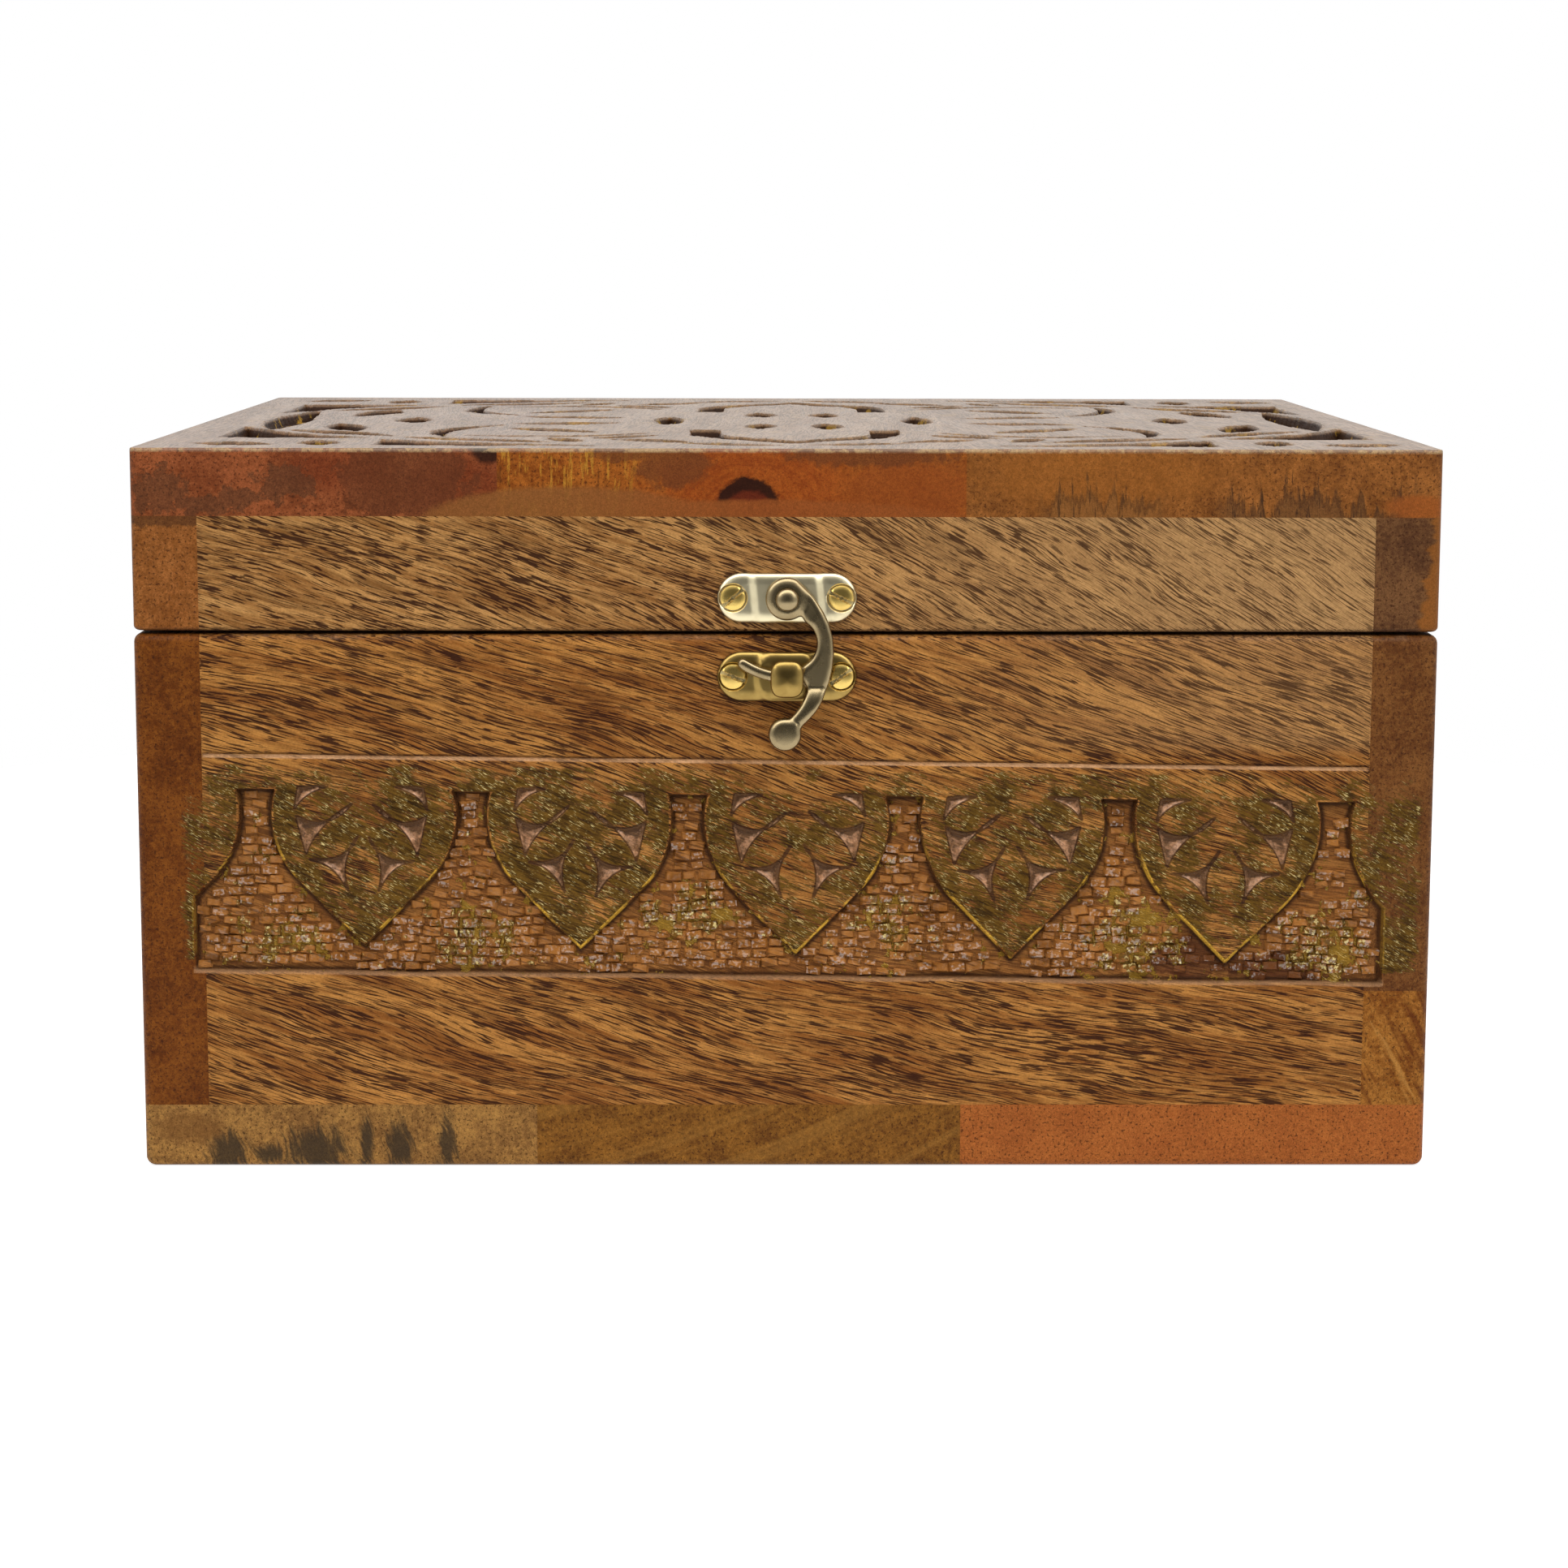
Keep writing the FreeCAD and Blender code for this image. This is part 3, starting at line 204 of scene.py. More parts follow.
class Tree:
    """The nodes of a material or of the world, as expressions on places in millimetres or on directions."""

    def __init__(self, name, world=None):
        self.material = world or bpy.data.materials.new(name)
        self.material.use_nodes = True
        self.nodes = self.material.node_tree.nodes
        self.links = self.material.node_tree.links
        self.nodes.clear()
        place = self.add("ShaderNodeTexCoord", output="Generated" if world else "Object")
        scale = 1 if world else 1 / MM
        place = self.add("ShaderNodeVectorMath", {"operation": "SCALE"}, {0: place, "Scale": scale})
        self.x = self.add("ShaderNodeSeparateXYZ", inputs={0: place}, output="X")
        self.y = self.x.out("Y")
        self.z = self.x.out("Z")

    def add(self, kind, settings=None, inputs=None, output=0):
        """A node with its settings made and its sockets filled or linked; gives one of its outputs."""
        node = self.nodes.new(kind)
        for name, setting in (settings or {}).items():
            setattr(node, name, setting)
        for key, item in (inputs or {}).items():
            if isinstance(item, Wire):
                self.links.new(item.socket, node.inputs[key])
            else:
                node.inputs[key].default_value = item
        return Wire(self, node.outputs[output]) if node.outputs else node

    def noise(self, x, y, z, detail=2.0, roughness=0.5):
        """Cloudy noise of about one unit's size at a place."""
        where = self.add("ShaderNodeCombineXYZ", inputs={0: x, 1: y, 2: z})
        sockets = {"Vector": where, "Scale": 1.0, "Detail": detail, "Roughness": roughness}
        return self.add("ShaderNodeTexNoise", inputs=sockets)

    def cloud(self, size, detail=2.0, roughness=0.5, shift=0.0):
        """Even noise of a size in millimetres."""
        return self.noise((self.x + shift) / size, self.y / size, self.z / size, detail, roughness)

    def step(self, item, low, high):
        """A soft step from 0 at low to 1 at high."""
        settings = {"interpolation_type": "SMOOTHSTEP"}
        return self.add("ShaderNodeMapRange", settings, {"Value": item, "From Min": low, "From Max": high})

    def blend(self, share, below, above):
        """One colour laid over another by a share; each is a wire, a code or its parts."""
        sockets = {0: share}
        for socket, colour in ((6, below), (7, above)):
            colour = shade(colour) if isinstance(colour, str) else colour
            sockets[socket] = colour if isinstance(colour, Wire) else (*colour[:3], 1)
        return self.add("ShaderNodeMix", {"data_type": "RGBA"}, sockets, output=2)

    def layer(self, name):
        """A value that the piece's mesh carries at each point."""
        return self.add("ShaderNodeAttribute", {"attribute_name": name}, output="Fac")

    def inside(self, spots):
        """How far a place lies inside spots on the front, each a middle, a height and two half sizes."""
        deepest = None
        for x, z, half_x, half_z in spots:
            across, up = (self.x - x) / half_x, (self.z - z) / half_z
            here = 1 - (across * across + up * up) ** 0.5
            deepest = deepest.most(here) if deepest else here
        return deepest

    def finish(self, colour, roughness, height, bump, metallic, coat=0.0, specular=0.5, lacquer=1.5):
        """The surface itself."""
        relief = {"Strength": bump, "Distance": BUMP_HEIGHT * MM, "Height": height}
        sockets = {"Base Color": colour, "Roughness": roughness, "Metallic": metallic, "Coat Weight": coat,
                   "Coat Roughness": 0.2, "Coat IOR": lacquer, "Specular IOR Level": specular,
                   "Normal": self.add("ShaderNodeBump", inputs=relief)}
        surface = self.add("ShaderNodeBsdfPrincipled", inputs=sockets)
        self.add("ShaderNodeOutputMaterial", inputs={"Surface": surface})
        return self.material


class Wood:
    """One board's wood: its colour, roughness and relief, ready for paint and wear on top."""

    def __init__(self, slot, colours, pores=1.0):
        axes, slant, curve = WOODS[slot][:3]
        light, dark, end_light, end_dark = (getattr(colours, f"{slot}_{part}") for part in WOOD_SHADES)
        self.tree = tree = Tree(slot)
        along, across, through = (getattr(tree, axis) for axis in axes)
        shift = sum(map(ord, slot)) % 97 * 1.7
        wander = tree.noise(along / 50 + shift, across / 14, through / 14, 1.0) - 0.5
        if slot == "front_wood":
            flatter = along * -0.08 + along * along * -0.0009
            across = across + flatter * tree.step(tree.z, 78, 40)
        across = across + along * slant + along * along * curve + wander * 6.0

        def grain(long, wide, detail, place):
            """Noise drawn out along the grain."""
            return tree.noise(along / long + (shift + place), across / wide, through / wide, detail)

        broad = grain(40, 6.0, 2.0, 0)
        streak = grain(10, 0.85, 3.0, 5)
        flame = grain(15, 1.7, 2.0, 11)
        crowd = grain(20, 4.0, 1.0, 23) - 0.5
        fibre = grain(3.0, 0.2, 1.0, 51)
        thinned = tree.step(tree.x, -20, 100) * 0.03 if slot == "lid_front_rail_wood" else 0.0
        dash = grain(4.0 if "rail" in slot else 6.0, 0.36, 1.0, 37) + crowd * 0.32
        dash = tree.step(dash - thinned, 0.553, 0.598)
        short = tree.step(grain(3.4, 0.24, 0.0, 71) + crowd * 0.25, 0.60, 0.65)
        self.dash = dash.most(short * 0.8)
        lines = self.dash * (0.95 * pores)
        colour = tree.blend(tree.step(broad * 0.45 + streak * 0.55, 0.38, 0.62), light, dark)
        colour = tree.blend(tree.step(flame, 0.54, 0.70) * 0.55, colour, [c * 0.5 for c in dark])
        if axes[0] == "y":
            ends = self.end_grain(shift, end_light, end_dark, colours.pore)
            self.end = tree.step(abs(tree.y), *END_GRAIN)
            lines = lines * (1 - self.end * 0.8)
            colour = tree.blend(self.end, colour, ends)
        self.colour = tree.blend(lines, colour, colours.pore)
        self.speckle = fibre * 0.55 + tree.cloud(0.4, 2.0, 0.6) * 0.45
        self.height = self.speckle * 0.6 - lines * 0.6 + streak * 0.3
        self.roughness = 0.5 + (broad - 0.5) * 0.2 + lines * 0.15
        self.coat = 0.0

    def end_grain(self, shift, light, dark, pore):
        """The mottled wood where the grain ends, with its pores as dots."""
        tree = self.tree
        mottle = tree.noise(tree.x / 9 + shift, tree.y / 90, tree.z / 10 + tree.x / 40, 6.0, 0.62)
        granules = tree.noise(tree.x / 1.1, tree.y / 40, tree.z / 1.1, 4.0, 0.7)
        ends = tree.blend(tree.step(mottle * 0.5 + granules * 0.5, 0.38, 0.62), light, dark)
        dots = tree.step(tree.noise(tree.x / 0.55, tree.y / 30, tree.z / 0.55, 2.0), 0.56, 0.66)
        return tree.blend(dots * 0.7, ends, pore)

    def lay(self, share, over):
        """Lays another colour over the wood by a share."""
        self.colour = self.tree.blend(share, self.colour, over)

    def patch(self, spots, over, strength, ragged, soft, size):
        """Lays spots of another colour over the wood, their edges soft and ragged with noise of a size."""
        tree = self.tree
        rough = (tree.cloud(size, 6.0, 0.68, shift=spots[0][0]) - 0.5) * (2 * ragged)
        self.lay(tree.step(tree.inside(spots) + rough, -soft, soft) * strength, over)

    def flames(self, x0, x1, z, height, over, line, size):
        """Lays ragged tongues of another colour over the wood, drawn through with dark strokes."""
        tree, step = self.tree, self.tree.step
        tongues = tree.noise(tree.x / size, 3.7, tree.y / 40, 2.0, 0.6)
        strokes = tree.noise(tree.x / 0.8 + tree.z / 16, tree.y / 60, tree.z / 8, 4.0, 0.7)
        stretch = step(tree.x, x0 - 3, x0 + 3) * step(tree.x, x1 + 3, x1 - 3)
        level = (tree.z - z) / height - (tongues - 0.40) * 2.4 + (strokes - 0.5) * 1.6
        self.lay(step(level, 0.35, -0.30) * stretch * 0.7, over)
        drawn = step(strokes, 0.45, 0.36) * step(level, 0.6, 0.1)
        drawn = drawn.most(step(abs(level), 0.18, 0.05) * 0.6)
        self.lay(drawn * stretch * 0.85, line)

    def finish(self, bump=0.35, metallic=0.0):
        """The finished material, with a breath of colour noise all over."""
        tree = self.tree
        tone = tree.blend(tree.step(self.speckle, 0.30, 0.70), (0.70, 0.69, 0.68), (1.20, 1.20, 1.20))
        settings = {"data_type": "RGBA", "blend_type": "MULTIPLY"}
        colour = tree.add("ShaderNodeMix", settings, {0: 1.0, 6: self.colour, 7: tone}, output=2)
        return tree.finish(colour, self.roughness, self.height, bump, metallic, self.coat, WOOD_SHINE)


def brass(name, colour, rough, worn, slot=None):
    """Cast brass with a little tarnish, faint polishing lines and soft dents; a slot shows its bright cut."""
    tree = Tree(name)
    cloud = tree.cloud(3.2, 3.0, 0.6)
    lines = tree.noise(tree.x / 0.12, tree.y / 0.5, tree.z / 1.6, 2.0)
    dents = tree.cloud(1.6, 1.0)
    dull = [c * f for c, f in zip(colour, (0.60, 0.54, 0.46))]
    shown = tree.blend(tree.step(cloud, 0.42, 0.72) * worn, colour, dull)
    roughness = rough + (lines - 0.5) * 0.02 + (cloud - 0.5) * 0.08
    metal = 1.0
    if slot:
        cut = tree.layer("slot")
        shown = tree.blend(cut, shown, slot)
        metal = 1 - cut * 0.6
    return tree.finish(shown, roughness, dents, bump=0.006, metallic=metal)


def shape(name, points, faces, material, layers=None, sharp=38):
    """A closed mesh piece in millimetres, its faces turned outwards."""
    mesh = bpy.data.meshes.new(name)
    mesh.from_pydata((np.asarray(points, float) * MM).tolist(), [], faces)
    for layer, values in (layers or {}).items():
        values = np.asarray(values, np.float32)
        mesh.attributes.new(layer, "FLOAT", "POINT").data.foreach_set("value", values)
    form = bmesh.new()
    form.from_mesh(mesh)
    bmesh.ops.recalc_face_normals(form, faces=form.faces)
    form.to_mesh(mesh)
    form.free()
    mesh.shade_smooth()
    mesh.set_sharp_from_angle(angle=math.radians(sharp))
    mesh.materials.append(material)
    piece = bpy.data.objects.new(name, mesh)
    bpy.context.scene.collection.objects.link(piece)
    return piece


def settle(piece, body, slot, *nodes):
    """Makes a piece ride on its body in place of the solids that it dresses."""
    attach(piece, body)
    if nodes:
        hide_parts(*nodes)


def paint(node, material):
    """Gives a solid that is shown as it is its finish."""
    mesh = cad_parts[node].data
    mesh.materials.clear()
    mesh.materials.append(material)


def spaced(*stretches):
    """Even steps over stretches that follow each other, each an end and a step after the first start."""
    places = [stretches[0]]
    for end, step in stretches[1:]:
        count = max(1, round(abs(end - places[-1]) / step))
        places += list(np.linspace(places[-1], end, count + 1)[1:])
    return np.array(places)


def rise(x, low, high):
    """A soft step on numbers."""
    t = np.clip((x - low) / (high - low), 0, 1)
    return t * t * (3 - 2 * t)


def wobble(u, v, seed, size):
    """A smooth unevenness of hand work, about one millimetre high at size 1."""
    turns = random.Random(seed)
    total = 0
    for step in (1, 1.9, 3.7):
        a, b = turns.uniform(0, 6.3), turns.uniform(0, 6.3)
        lean = turns.uniform(-0.8, 0.8)
        wave = np.sin((u + lean * v) * step / 7.0 + a) * np.cos((v - lean * u) * step / 8.5 + b)
        total = total + wave / step
    return total * size * 0.5


def bow(*corners):
    """Points along joined curves: each stretch bends towards its middle corner."""
    points = []
    for start, pull, end in zip(corners[:-2:2], corners[1:-1:2], corners[2::2]):
        for t in np.linspace(0, 1, 9)[:-1]:
            near, between, far = (1 - t) ** 2, 2 * t * (1 - t), t * t
            points.append([near * a + between * b + far * c for a, b, c in zip(start, pull, end)])
    return points + [list(corners[-1])]


def depth_inside(u, v, loop):
    """How far each place lies inside a closed outline; negative outside it."""
    loop = np.asarray(loop, float)
    ahead = np.roll(loop, -1, 0)
    nearest = np.full(np.shape(u), 1e9)
    inside = np.zeros(np.shape(u), bool)
    for (x0, y0), (x1, y1) in zip(loop, ahead):
        dx, dy = x1 - x0, y1 - y0
        size = dx * dx + dy * dy
        if size == 0:
            continue
        t = np.clip(((u - x0) * dx + (v - y0) * dy) / size, 0, 1)
        nearest = np.minimum(nearest, np.hypot(u - x0 - t * dx, v - y0 - t * dy))
        if y0 != y1:
            inside ^= ((y0 > v) != (y1 > v)) & (u < dx * (v - y0) / dy + x0)
    return np.where(inside, nearest, -nearest)


# The cuts between the leaves of one half of a shield, as bows in millimetres from the shield's middle and the
# lower edge of the box.
LEAF_CUTS = (
    bow((7.0, 75.3), (11.6, 74.4), (13.3, 71.0), (12.9, 73.2), (12.6, 75.2), (9.8, 75.5), (7.0, 75.3)),
    bow((2.3, 71.8), (7.1, 66.0), (13.0, 69.5), (12.3, 66.6), (11.2, 62.0), (9.6, 67.2), (2.3, 71.8)),
    bow((1.3, 65.2), (3.6, 59.9), (10.4, 60.7), (5.6, 60.2), (3.2, 54.8), (5.1, 60.6), (1.3, 65.2)),
)
# Where those cuts lie, from the shield's middle and in height, and how far they reach from there.
CUTS_ALONG, CUTS_UP = (7, 8), (63.5, 13)
SHIELD_PITCH = 42.0
# How much of the gilding each shield keeps, from left to right.
GILDING_KEPT = (0.61, 0.63, 0.75, 0.56, 0.69, 0.63, 0.66)
# How much the front's band climbs to the left over its length.
LEVEL_TILT = 0.011
# How far a cut's wall runs, a shield's worn lip, and the two walls and the depth of the scribed line.
CUT_RUN = 0.9
LIP_RUN, LIP_DROP = 0.35, 0.16
GROOVE_ABOVE, GROOVE_BELOW, GROOVE_DEPTH = 0.35, 1.1, 0.5
# Shades on the carved boards: the ground's stain, pooled lacquer, painted shade with some dirt in the
# creases, painted highlights on the lower edges and the rim's painted shadow.
GROUND_STAIN = "#8f5b2d"
LACQUER = "#4e2715"
SHADE_AND_DIRT = "#2a1509"
EDGE_HIGHLIGHT = "#c4966c"
RIM_SHADOW = "#2c180b"
# A distance that counts as far from any edge, and what the layers of a carved board hold where it is plain.
FAR = 9.0
PLAIN = {"ground": -FAR, "cuts": -FAR}


class Band:
    """The carved band of shields along one face of the body, as depths below the face in millimetres."""

    def __init__(self, sizes, reach, shift, ends, scribed, tilt, seed):
        self.mm = {name: getattr(sizes, name) / MM for name in BoxSizes.__annotations__}
        count = round(reach / SHIELD_PITCH)
        pitch = reach / count
        self.half = (pitch - self.mm["shield_gap"]) / 2
        self.middles = [shift - reach / 2 + step * pitch for step in range(count + 1)]
        self.ends = ends
        self.scribed = scribed
        self.tilt = tilt
        self.seed = seed

    def level(self, u, z):
        """Height with the band's slope taken out."""
        return z + self.tilt * u

    def shield(self, u, z, index):
        """Distance outside one shield; negative inside it."""
        middle = self.middles[index]
        mm = self.mm
        tip = mm["shield_tip"] - self.tilt * middle * 0.8
        top, widest, half = mm["band_upper"], mm["shield_widest"], self.half
        radius = (widest - tip - half) / (math.sqrt(2) - 1)
        bend = widest - radius * math.sqrt(0.5)
        drop = np.clip(widest - z, 0, radius * 0.72)
        round_part = np.sqrt(radius ** 2 - drop ** 2)
        lift = np.clip((z - widest) / (top - widest), 0, 2)
        reach = np.where(z < bend, z - tip, half - radius + round_part - 0.8 * lift ** 2)
        lean = np.where(z < bend, 1.0, drop / round_part)
        hand = wobble(u, z, self.seed + index, 0.45)
        return (np.abs(u - middle) - reach + hand) / np.sqrt(1 + lean ** 2)

    def ground(self, u, z):
        """How far a place lies inside the sunk ground; negative on the shields and the plain board."""
        z = self.level(u, z)
        lower = z - self.mm["band_lower"] + wobble(u, z, self.seed + 50, 0.25)
        upper = self.mm["band_upper"] - z + wobble(u, z, self.seed + 60, 0.3)
        inside = np.minimum(np.minimum(lower, upper), np.minimum(u - self.ends[0], self.ends[1] - u))
        for index in range(len(self.middles)):
            inside = np.minimum(inside, self.shield(u, z, index))
        return inside

    def cuts(self, u, z):
        """How far a place lies inside the cuts between the leaves; negative elsewhere."""
        z = self.level(u, z)
        inside = np.full(np.shape(u), -FAR)
        for index, middle in enumerate(self.middles[1:-1]):
            turns = random.Random(self.seed * 31 + index)
            for side in (-1, 1):
                near = np.abs(u - middle - side * CUTS_ALONG[0]) < CUTS_ALONG[1]
                near &= np.abs(z - CUTS_UP[0]) < CUTS_UP[1]
                if not near.any():
                    continue
                grow = turns.uniform(0.95, 1.05)
                across = (u[near] - middle) * side / grow + turns.uniform(-0.3, 0.3)
                hand = wobble(u[near], z[near], self.seed + 80 + index, 0.3)
                up = z[near] + turns.uniform(-0.4, 0.4) + hand
                deepest = np.max([depth_inside(across, up, loop) for loop in LEAF_CUTS], axis=0) + 0.12
                inside[near] = np.maximum(inside[near], deepest)
        return inside

    def depth(self, u, z):
        """Depth of the carved face, and the layers that its finish reads."""
        mm = self.mm
        ground, cuts, level = self.ground(u, z), self.cuts(u, z), self.level(u, z)
        sunk = rise(ground, 0, mm["wall_run"])
        chipped = np.clip(cuts / CUT_RUN, 0, 1)
        lip = np.exp(-np.clip(-ground, 0, FAR) / LIP_RUN) * (ground <= 0) * LIP_DROP
        groove = level - mm["groove_height"]
        scribed = np.where(groove > 0, 1 - groove / GROOVE_ABOVE, 1 + groove / GROOVE_BELOW).clip(0, 1)
        between = (u > self.scribed[0]) & (u < self.scribed[1])
        depth = sunk * mm["carving_depth"] + chipped * mm["cut_depth"] + lip
        depth = depth + scribed * GROOVE_DEPTH * between
        depth = depth + (wobble(u, z, self.seed + 7, 0.09) + 0.09) * between
        # How far the cuts' walls face up, which drives the painted light and shade on the cuts.
        facing_up = np.clip((self.cuts(u, z + 0.15) - self.cuts(u, z - 0.15)) / 0.3, -1, 1)
        return depth, {"ground": np.clip(ground, -FAR, FAR), "cuts": np.clip(cuts, -FAR, FAR), "level": level,
                       "panel": self.gilding(u, level, ground), "upward": facing_up, "between": between * 1.0}

    def gilding(self, u, level, ground):
        """How much gilding is kept: most along the shields' edges, least above them, none elsewhere."""
        mm, (start, end) = self.mm, self.ends
        kept = np.interp(u, self.middles, np.resize(GILDING_KEPT, len(self.middles)))
        kept = kept + 0.09 * np.exp(-np.clip(-ground, 0, 20) / 2.5) - 0.03
        kept = kept * (ground < 0) * rise(level, mm["band_lower"] + 2, mm["band_lower"] + 3)
        kept = kept * rise(u, start - 4, start) * rise(u, end + 9, end + 5)
        kept = kept * rise(level, mm["groove_height"] - 0.5, mm["groove_height"] - 2.5)
        return kept - 0.16 * (kept > 0) * rise(level, mm["band_upper"] - 1, mm["band_upper"] + 3)

    def snap(self, u, z, step):
        """Moves grid places that lie near a carved edge on to it."""
        u, z = snap_to(self.ground, (0.0, self.mm["wall_run"]), u, z, step)
        return snap_to(self.cuts, (0.0,), u, z, step)


def snap_to(measure, levels, u, v, step):
    """Moves grid places that lie near given levels of a measure on to them, so that edges run clean."""
    for level in levels:
        here = measure(u, v) - level
        du = (measure(u + 0.02, v) - level - here) / 0.02
        dv = (measure(u, v + 0.02) - level - here) / 0.02
        size = np.maximum(np.hypot(du, dv), 0.3)
        near = (np.abs(here) < 0.5 * step) & (np.hypot(du, dv) > 0.3)
        u = np.where(near, u - here * du / size ** 2, u)
        v = np.where(near, v - here * dv / size ** 2, v)
    return u, v


def sheet_faces(rows, columns):
    """The faces of a grid of points, row by row."""
    at = np.arange(rows * columns).reshape(rows, columns)
    corners = (at[:-1, :-1], at[:-1, 1:], at[1:, 1:], at[1:, :-1])
    return np.stack([c.ravel() for c in corners], 1).tolist()


def rim_round(z, top, radius):
    """How far a face draws back towards its rounded upper edge."""
    up = np.clip(z - (top - radius), 0, radius)
    return radius - np.sqrt(np.maximum(radius ** 2 - up ** 2, 0))


def round_rows(top, radius):
    """Heights that follow a rounded upper edge."""
    return [top - radius + radius * math.sin(math.radians(a)) for a in (20, 38, 54, 68, 80, 90)]


# Rounds of the body's upper rim, its corners and the lid's upper edge, the gap under the lid, and the bevel
# that lets the lid open.
RIM_ROUND = 1.7
CORNER_ROUND = 2.2
LID_ROUND = 0.6
LID_GAP = 0.6
HINGE_INSET = 3.0
BEVEL_SLOPE = math.tan(math.radians(52))
# Grid steps of the carved walls and the top; heights between which a wall's rows lie close; heights between
# which its places snap to carved edges, and how far along a side they do; the height up to which its rows run
# level; and the height above which a board is taken for an upper stave.
GRID = 0.4
TOP_GRID = 0.5
LOW_STEP, HIGH_STEP = 2.4, 2.2
CLOSE_FROM, CLOSE_TO = 36.2, 85.0
SNAP_FROM, SNAP_TO, SNAP_REACH = 37.0, 84.5, 80.0
LEVEL_TO = 86.0
UPPER_STAVE = 35.0


def body_rows(floor, rim):
    """Heights of the grid rows on a carved wall: close over the carved band, wide elsewhere."""
    low = [floor] if floor > UPPER_STAVE else list(spaced(floor, (CLOSE_FROM, LOW_STEP)))
    rows = spaced(low[-1], (CLOSE_TO, GRID), (rim - RIM_ROUND, HIGH_STEP))
    return np.array(low[:-1] + list(rows) + round_rows(rim, RIM_ROUND))


class CarvedWood(Wood):
    """Wood of a carved board: fresh cuts, worn gilding on the shields and gold along their lower edges."""

    def __init__(self, slot, sizes, colours):
        super().__init__(slot, colours)
        tree, step = self.tree, self.tree.step
        self.colours = colours
        if slot == "front_wood":
            tan = tree.blend(self.dash * 0.8, "#b68d5c", "#4a2e18")
            self.lay(step(tree.x, 0, 110) * step(tree.z, 82, 86) * 0.45, tan)
        self.inside, self.cuts = tree.layer("ground"), tree.layer("cuts")
        self.level, self.between = tree.layer("level"), tree.layer("between")
        self.groove, self.foot = self.level - sizes.groove_height / MM, sizes.band_lower / MM
        self.ground, self.raw = step(self.inside, 0.0, sizes.wall_run / MM), step(self.cuts, -0.05, 0.2)
        self.net = gold_net(tree) * self.ground
        slanted = tree.z + tree.x * 0.5 + tree.y * 0.5
        self.strokes = tree.noise(tree.x / 3.0, tree.y / 3.0, slanted / 0.40, 3.0)

    def crease(self):
        """Painted shade, with some dirt, along the carved walls, round the cuts and in the scribed line."""
        step, inside, cuts, groove = self.tree.step, self.inside, self.cuts, self.groove
        walls = step(inside, -0.1, 0.25) * step(inside, 1.5, 0.7)
        rims = step(cuts, -0.35, -0.08) * step(cuts, 0.25, 0.0)
        line = step(groove, -0.05, 0.1) * step(groove, 0.6, 0.25) * self.between * 0.6
        return walls.most(rims).most(line)

    def gilded(self, crease):
        """Where gilding is left on the shields and in the ground."""
        tree, step = self.tree, self.tree.step
        cover = tree.layer("panel")
        patches = tree.cloud(8.0, 5.0, 0.62, shift=31) + (self.strokes - 0.5) * 0.7
        kept = step(patches + cover * 0.6, 0.76, 0.88) * step(cover, 0.1, 0.2)
        return (kept * (1 - self.raw) * (1 - crease * 0.9)).most(self.net)

    def gold(self):
        """The gilding's colour: dark and bright strokes, with flakes of the metal paint painted bright as
        glints.
        """
        tree, step, gilding = self.tree, self.tree.step, self.colours.gilding
        scratch = tree.noise(tree.x / 1.1, tree.y / 1.1, (tree.z + tree.x * 0.6 + tree.y * 0.6) / 0.16, 1.0)
        flake = step(scratch, 0.58, 0.67) * step(tree.cloud(1.6, 2.0, shift=5), 0.44, 0.58)
        gold = tree.blend(step(self.strokes, 0.36, 0.64), [c * 0.22 for c in gilding], gilding)
        # Painted glints on the gilding's flakes.
        gold = tree.blend(flake * 0.9, gold, self.colours.glint)
        return tree.blend(self.net * 0.35, gold, self.colours.gilt_edge)

    def bright(self):
        """Where the cuts look up to the light, broken up by chips: the mask for the painted light and shade
        on the cuts.
        """
        tree = self.tree
        chips = tree.cloud(1.4, 3.0, 0.6, shift=18) * 0.7 + self.strokes * 0.3
        return tree.step(tree.layer("upward") + (chips - 0.5) * 5.0, -0.2, 1.3)

    def worn_rim(self):
        """Where the upper rim is rubbed bare."""
        tree, step = self.tree, self.tree.step
        return step(tree.z, RIM - 1.4, RIM - 0.5) * step(tree.cloud(9.0, 4.0, 0.6, shift=3), 0.46, 0.56)

    def pale_edges(self):
        """Painted highlights on the pale lower edges of the scribed line and of the band, which face up to
        the light.
        """
        tree, step, inside, groove = self.tree, self.tree.step, self.inside, self.groove
        lower = step(inside, -0.4, -0.1) * step(inside, 0.6, 0.2)
        lower = lower * step(self.level, self.foot + 1.6, self.foot)
        line = step(groove, -0.85, -0.6) * step(groove, 0.05, -0.08) * self.between
        line = line * (0.45 + step(tree.cloud(6.0, 3.0, 0.6, shift=14), 0.35, 0.6) * 0.5)
        return line.most(lower * 0.4)

    def gilt_edges(self):
        """Gold left along the lower edges of the shields."""
        tree, step, inside, level = self.tree, self.tree.step, self.inside, self.level
        edge = step(inside, -0.5, -0.2) * step(inside, 0.45, 0.2) * step(level, 67.5, 59.5)
        edge = edge * step(level, self.foot + 3, self.foot + 5) * (0.2 + self.between * 0.8)
        return edge * step(tree.cloud(5.0, 4.0, 0.65, shift=12), 0.46, 0.56)

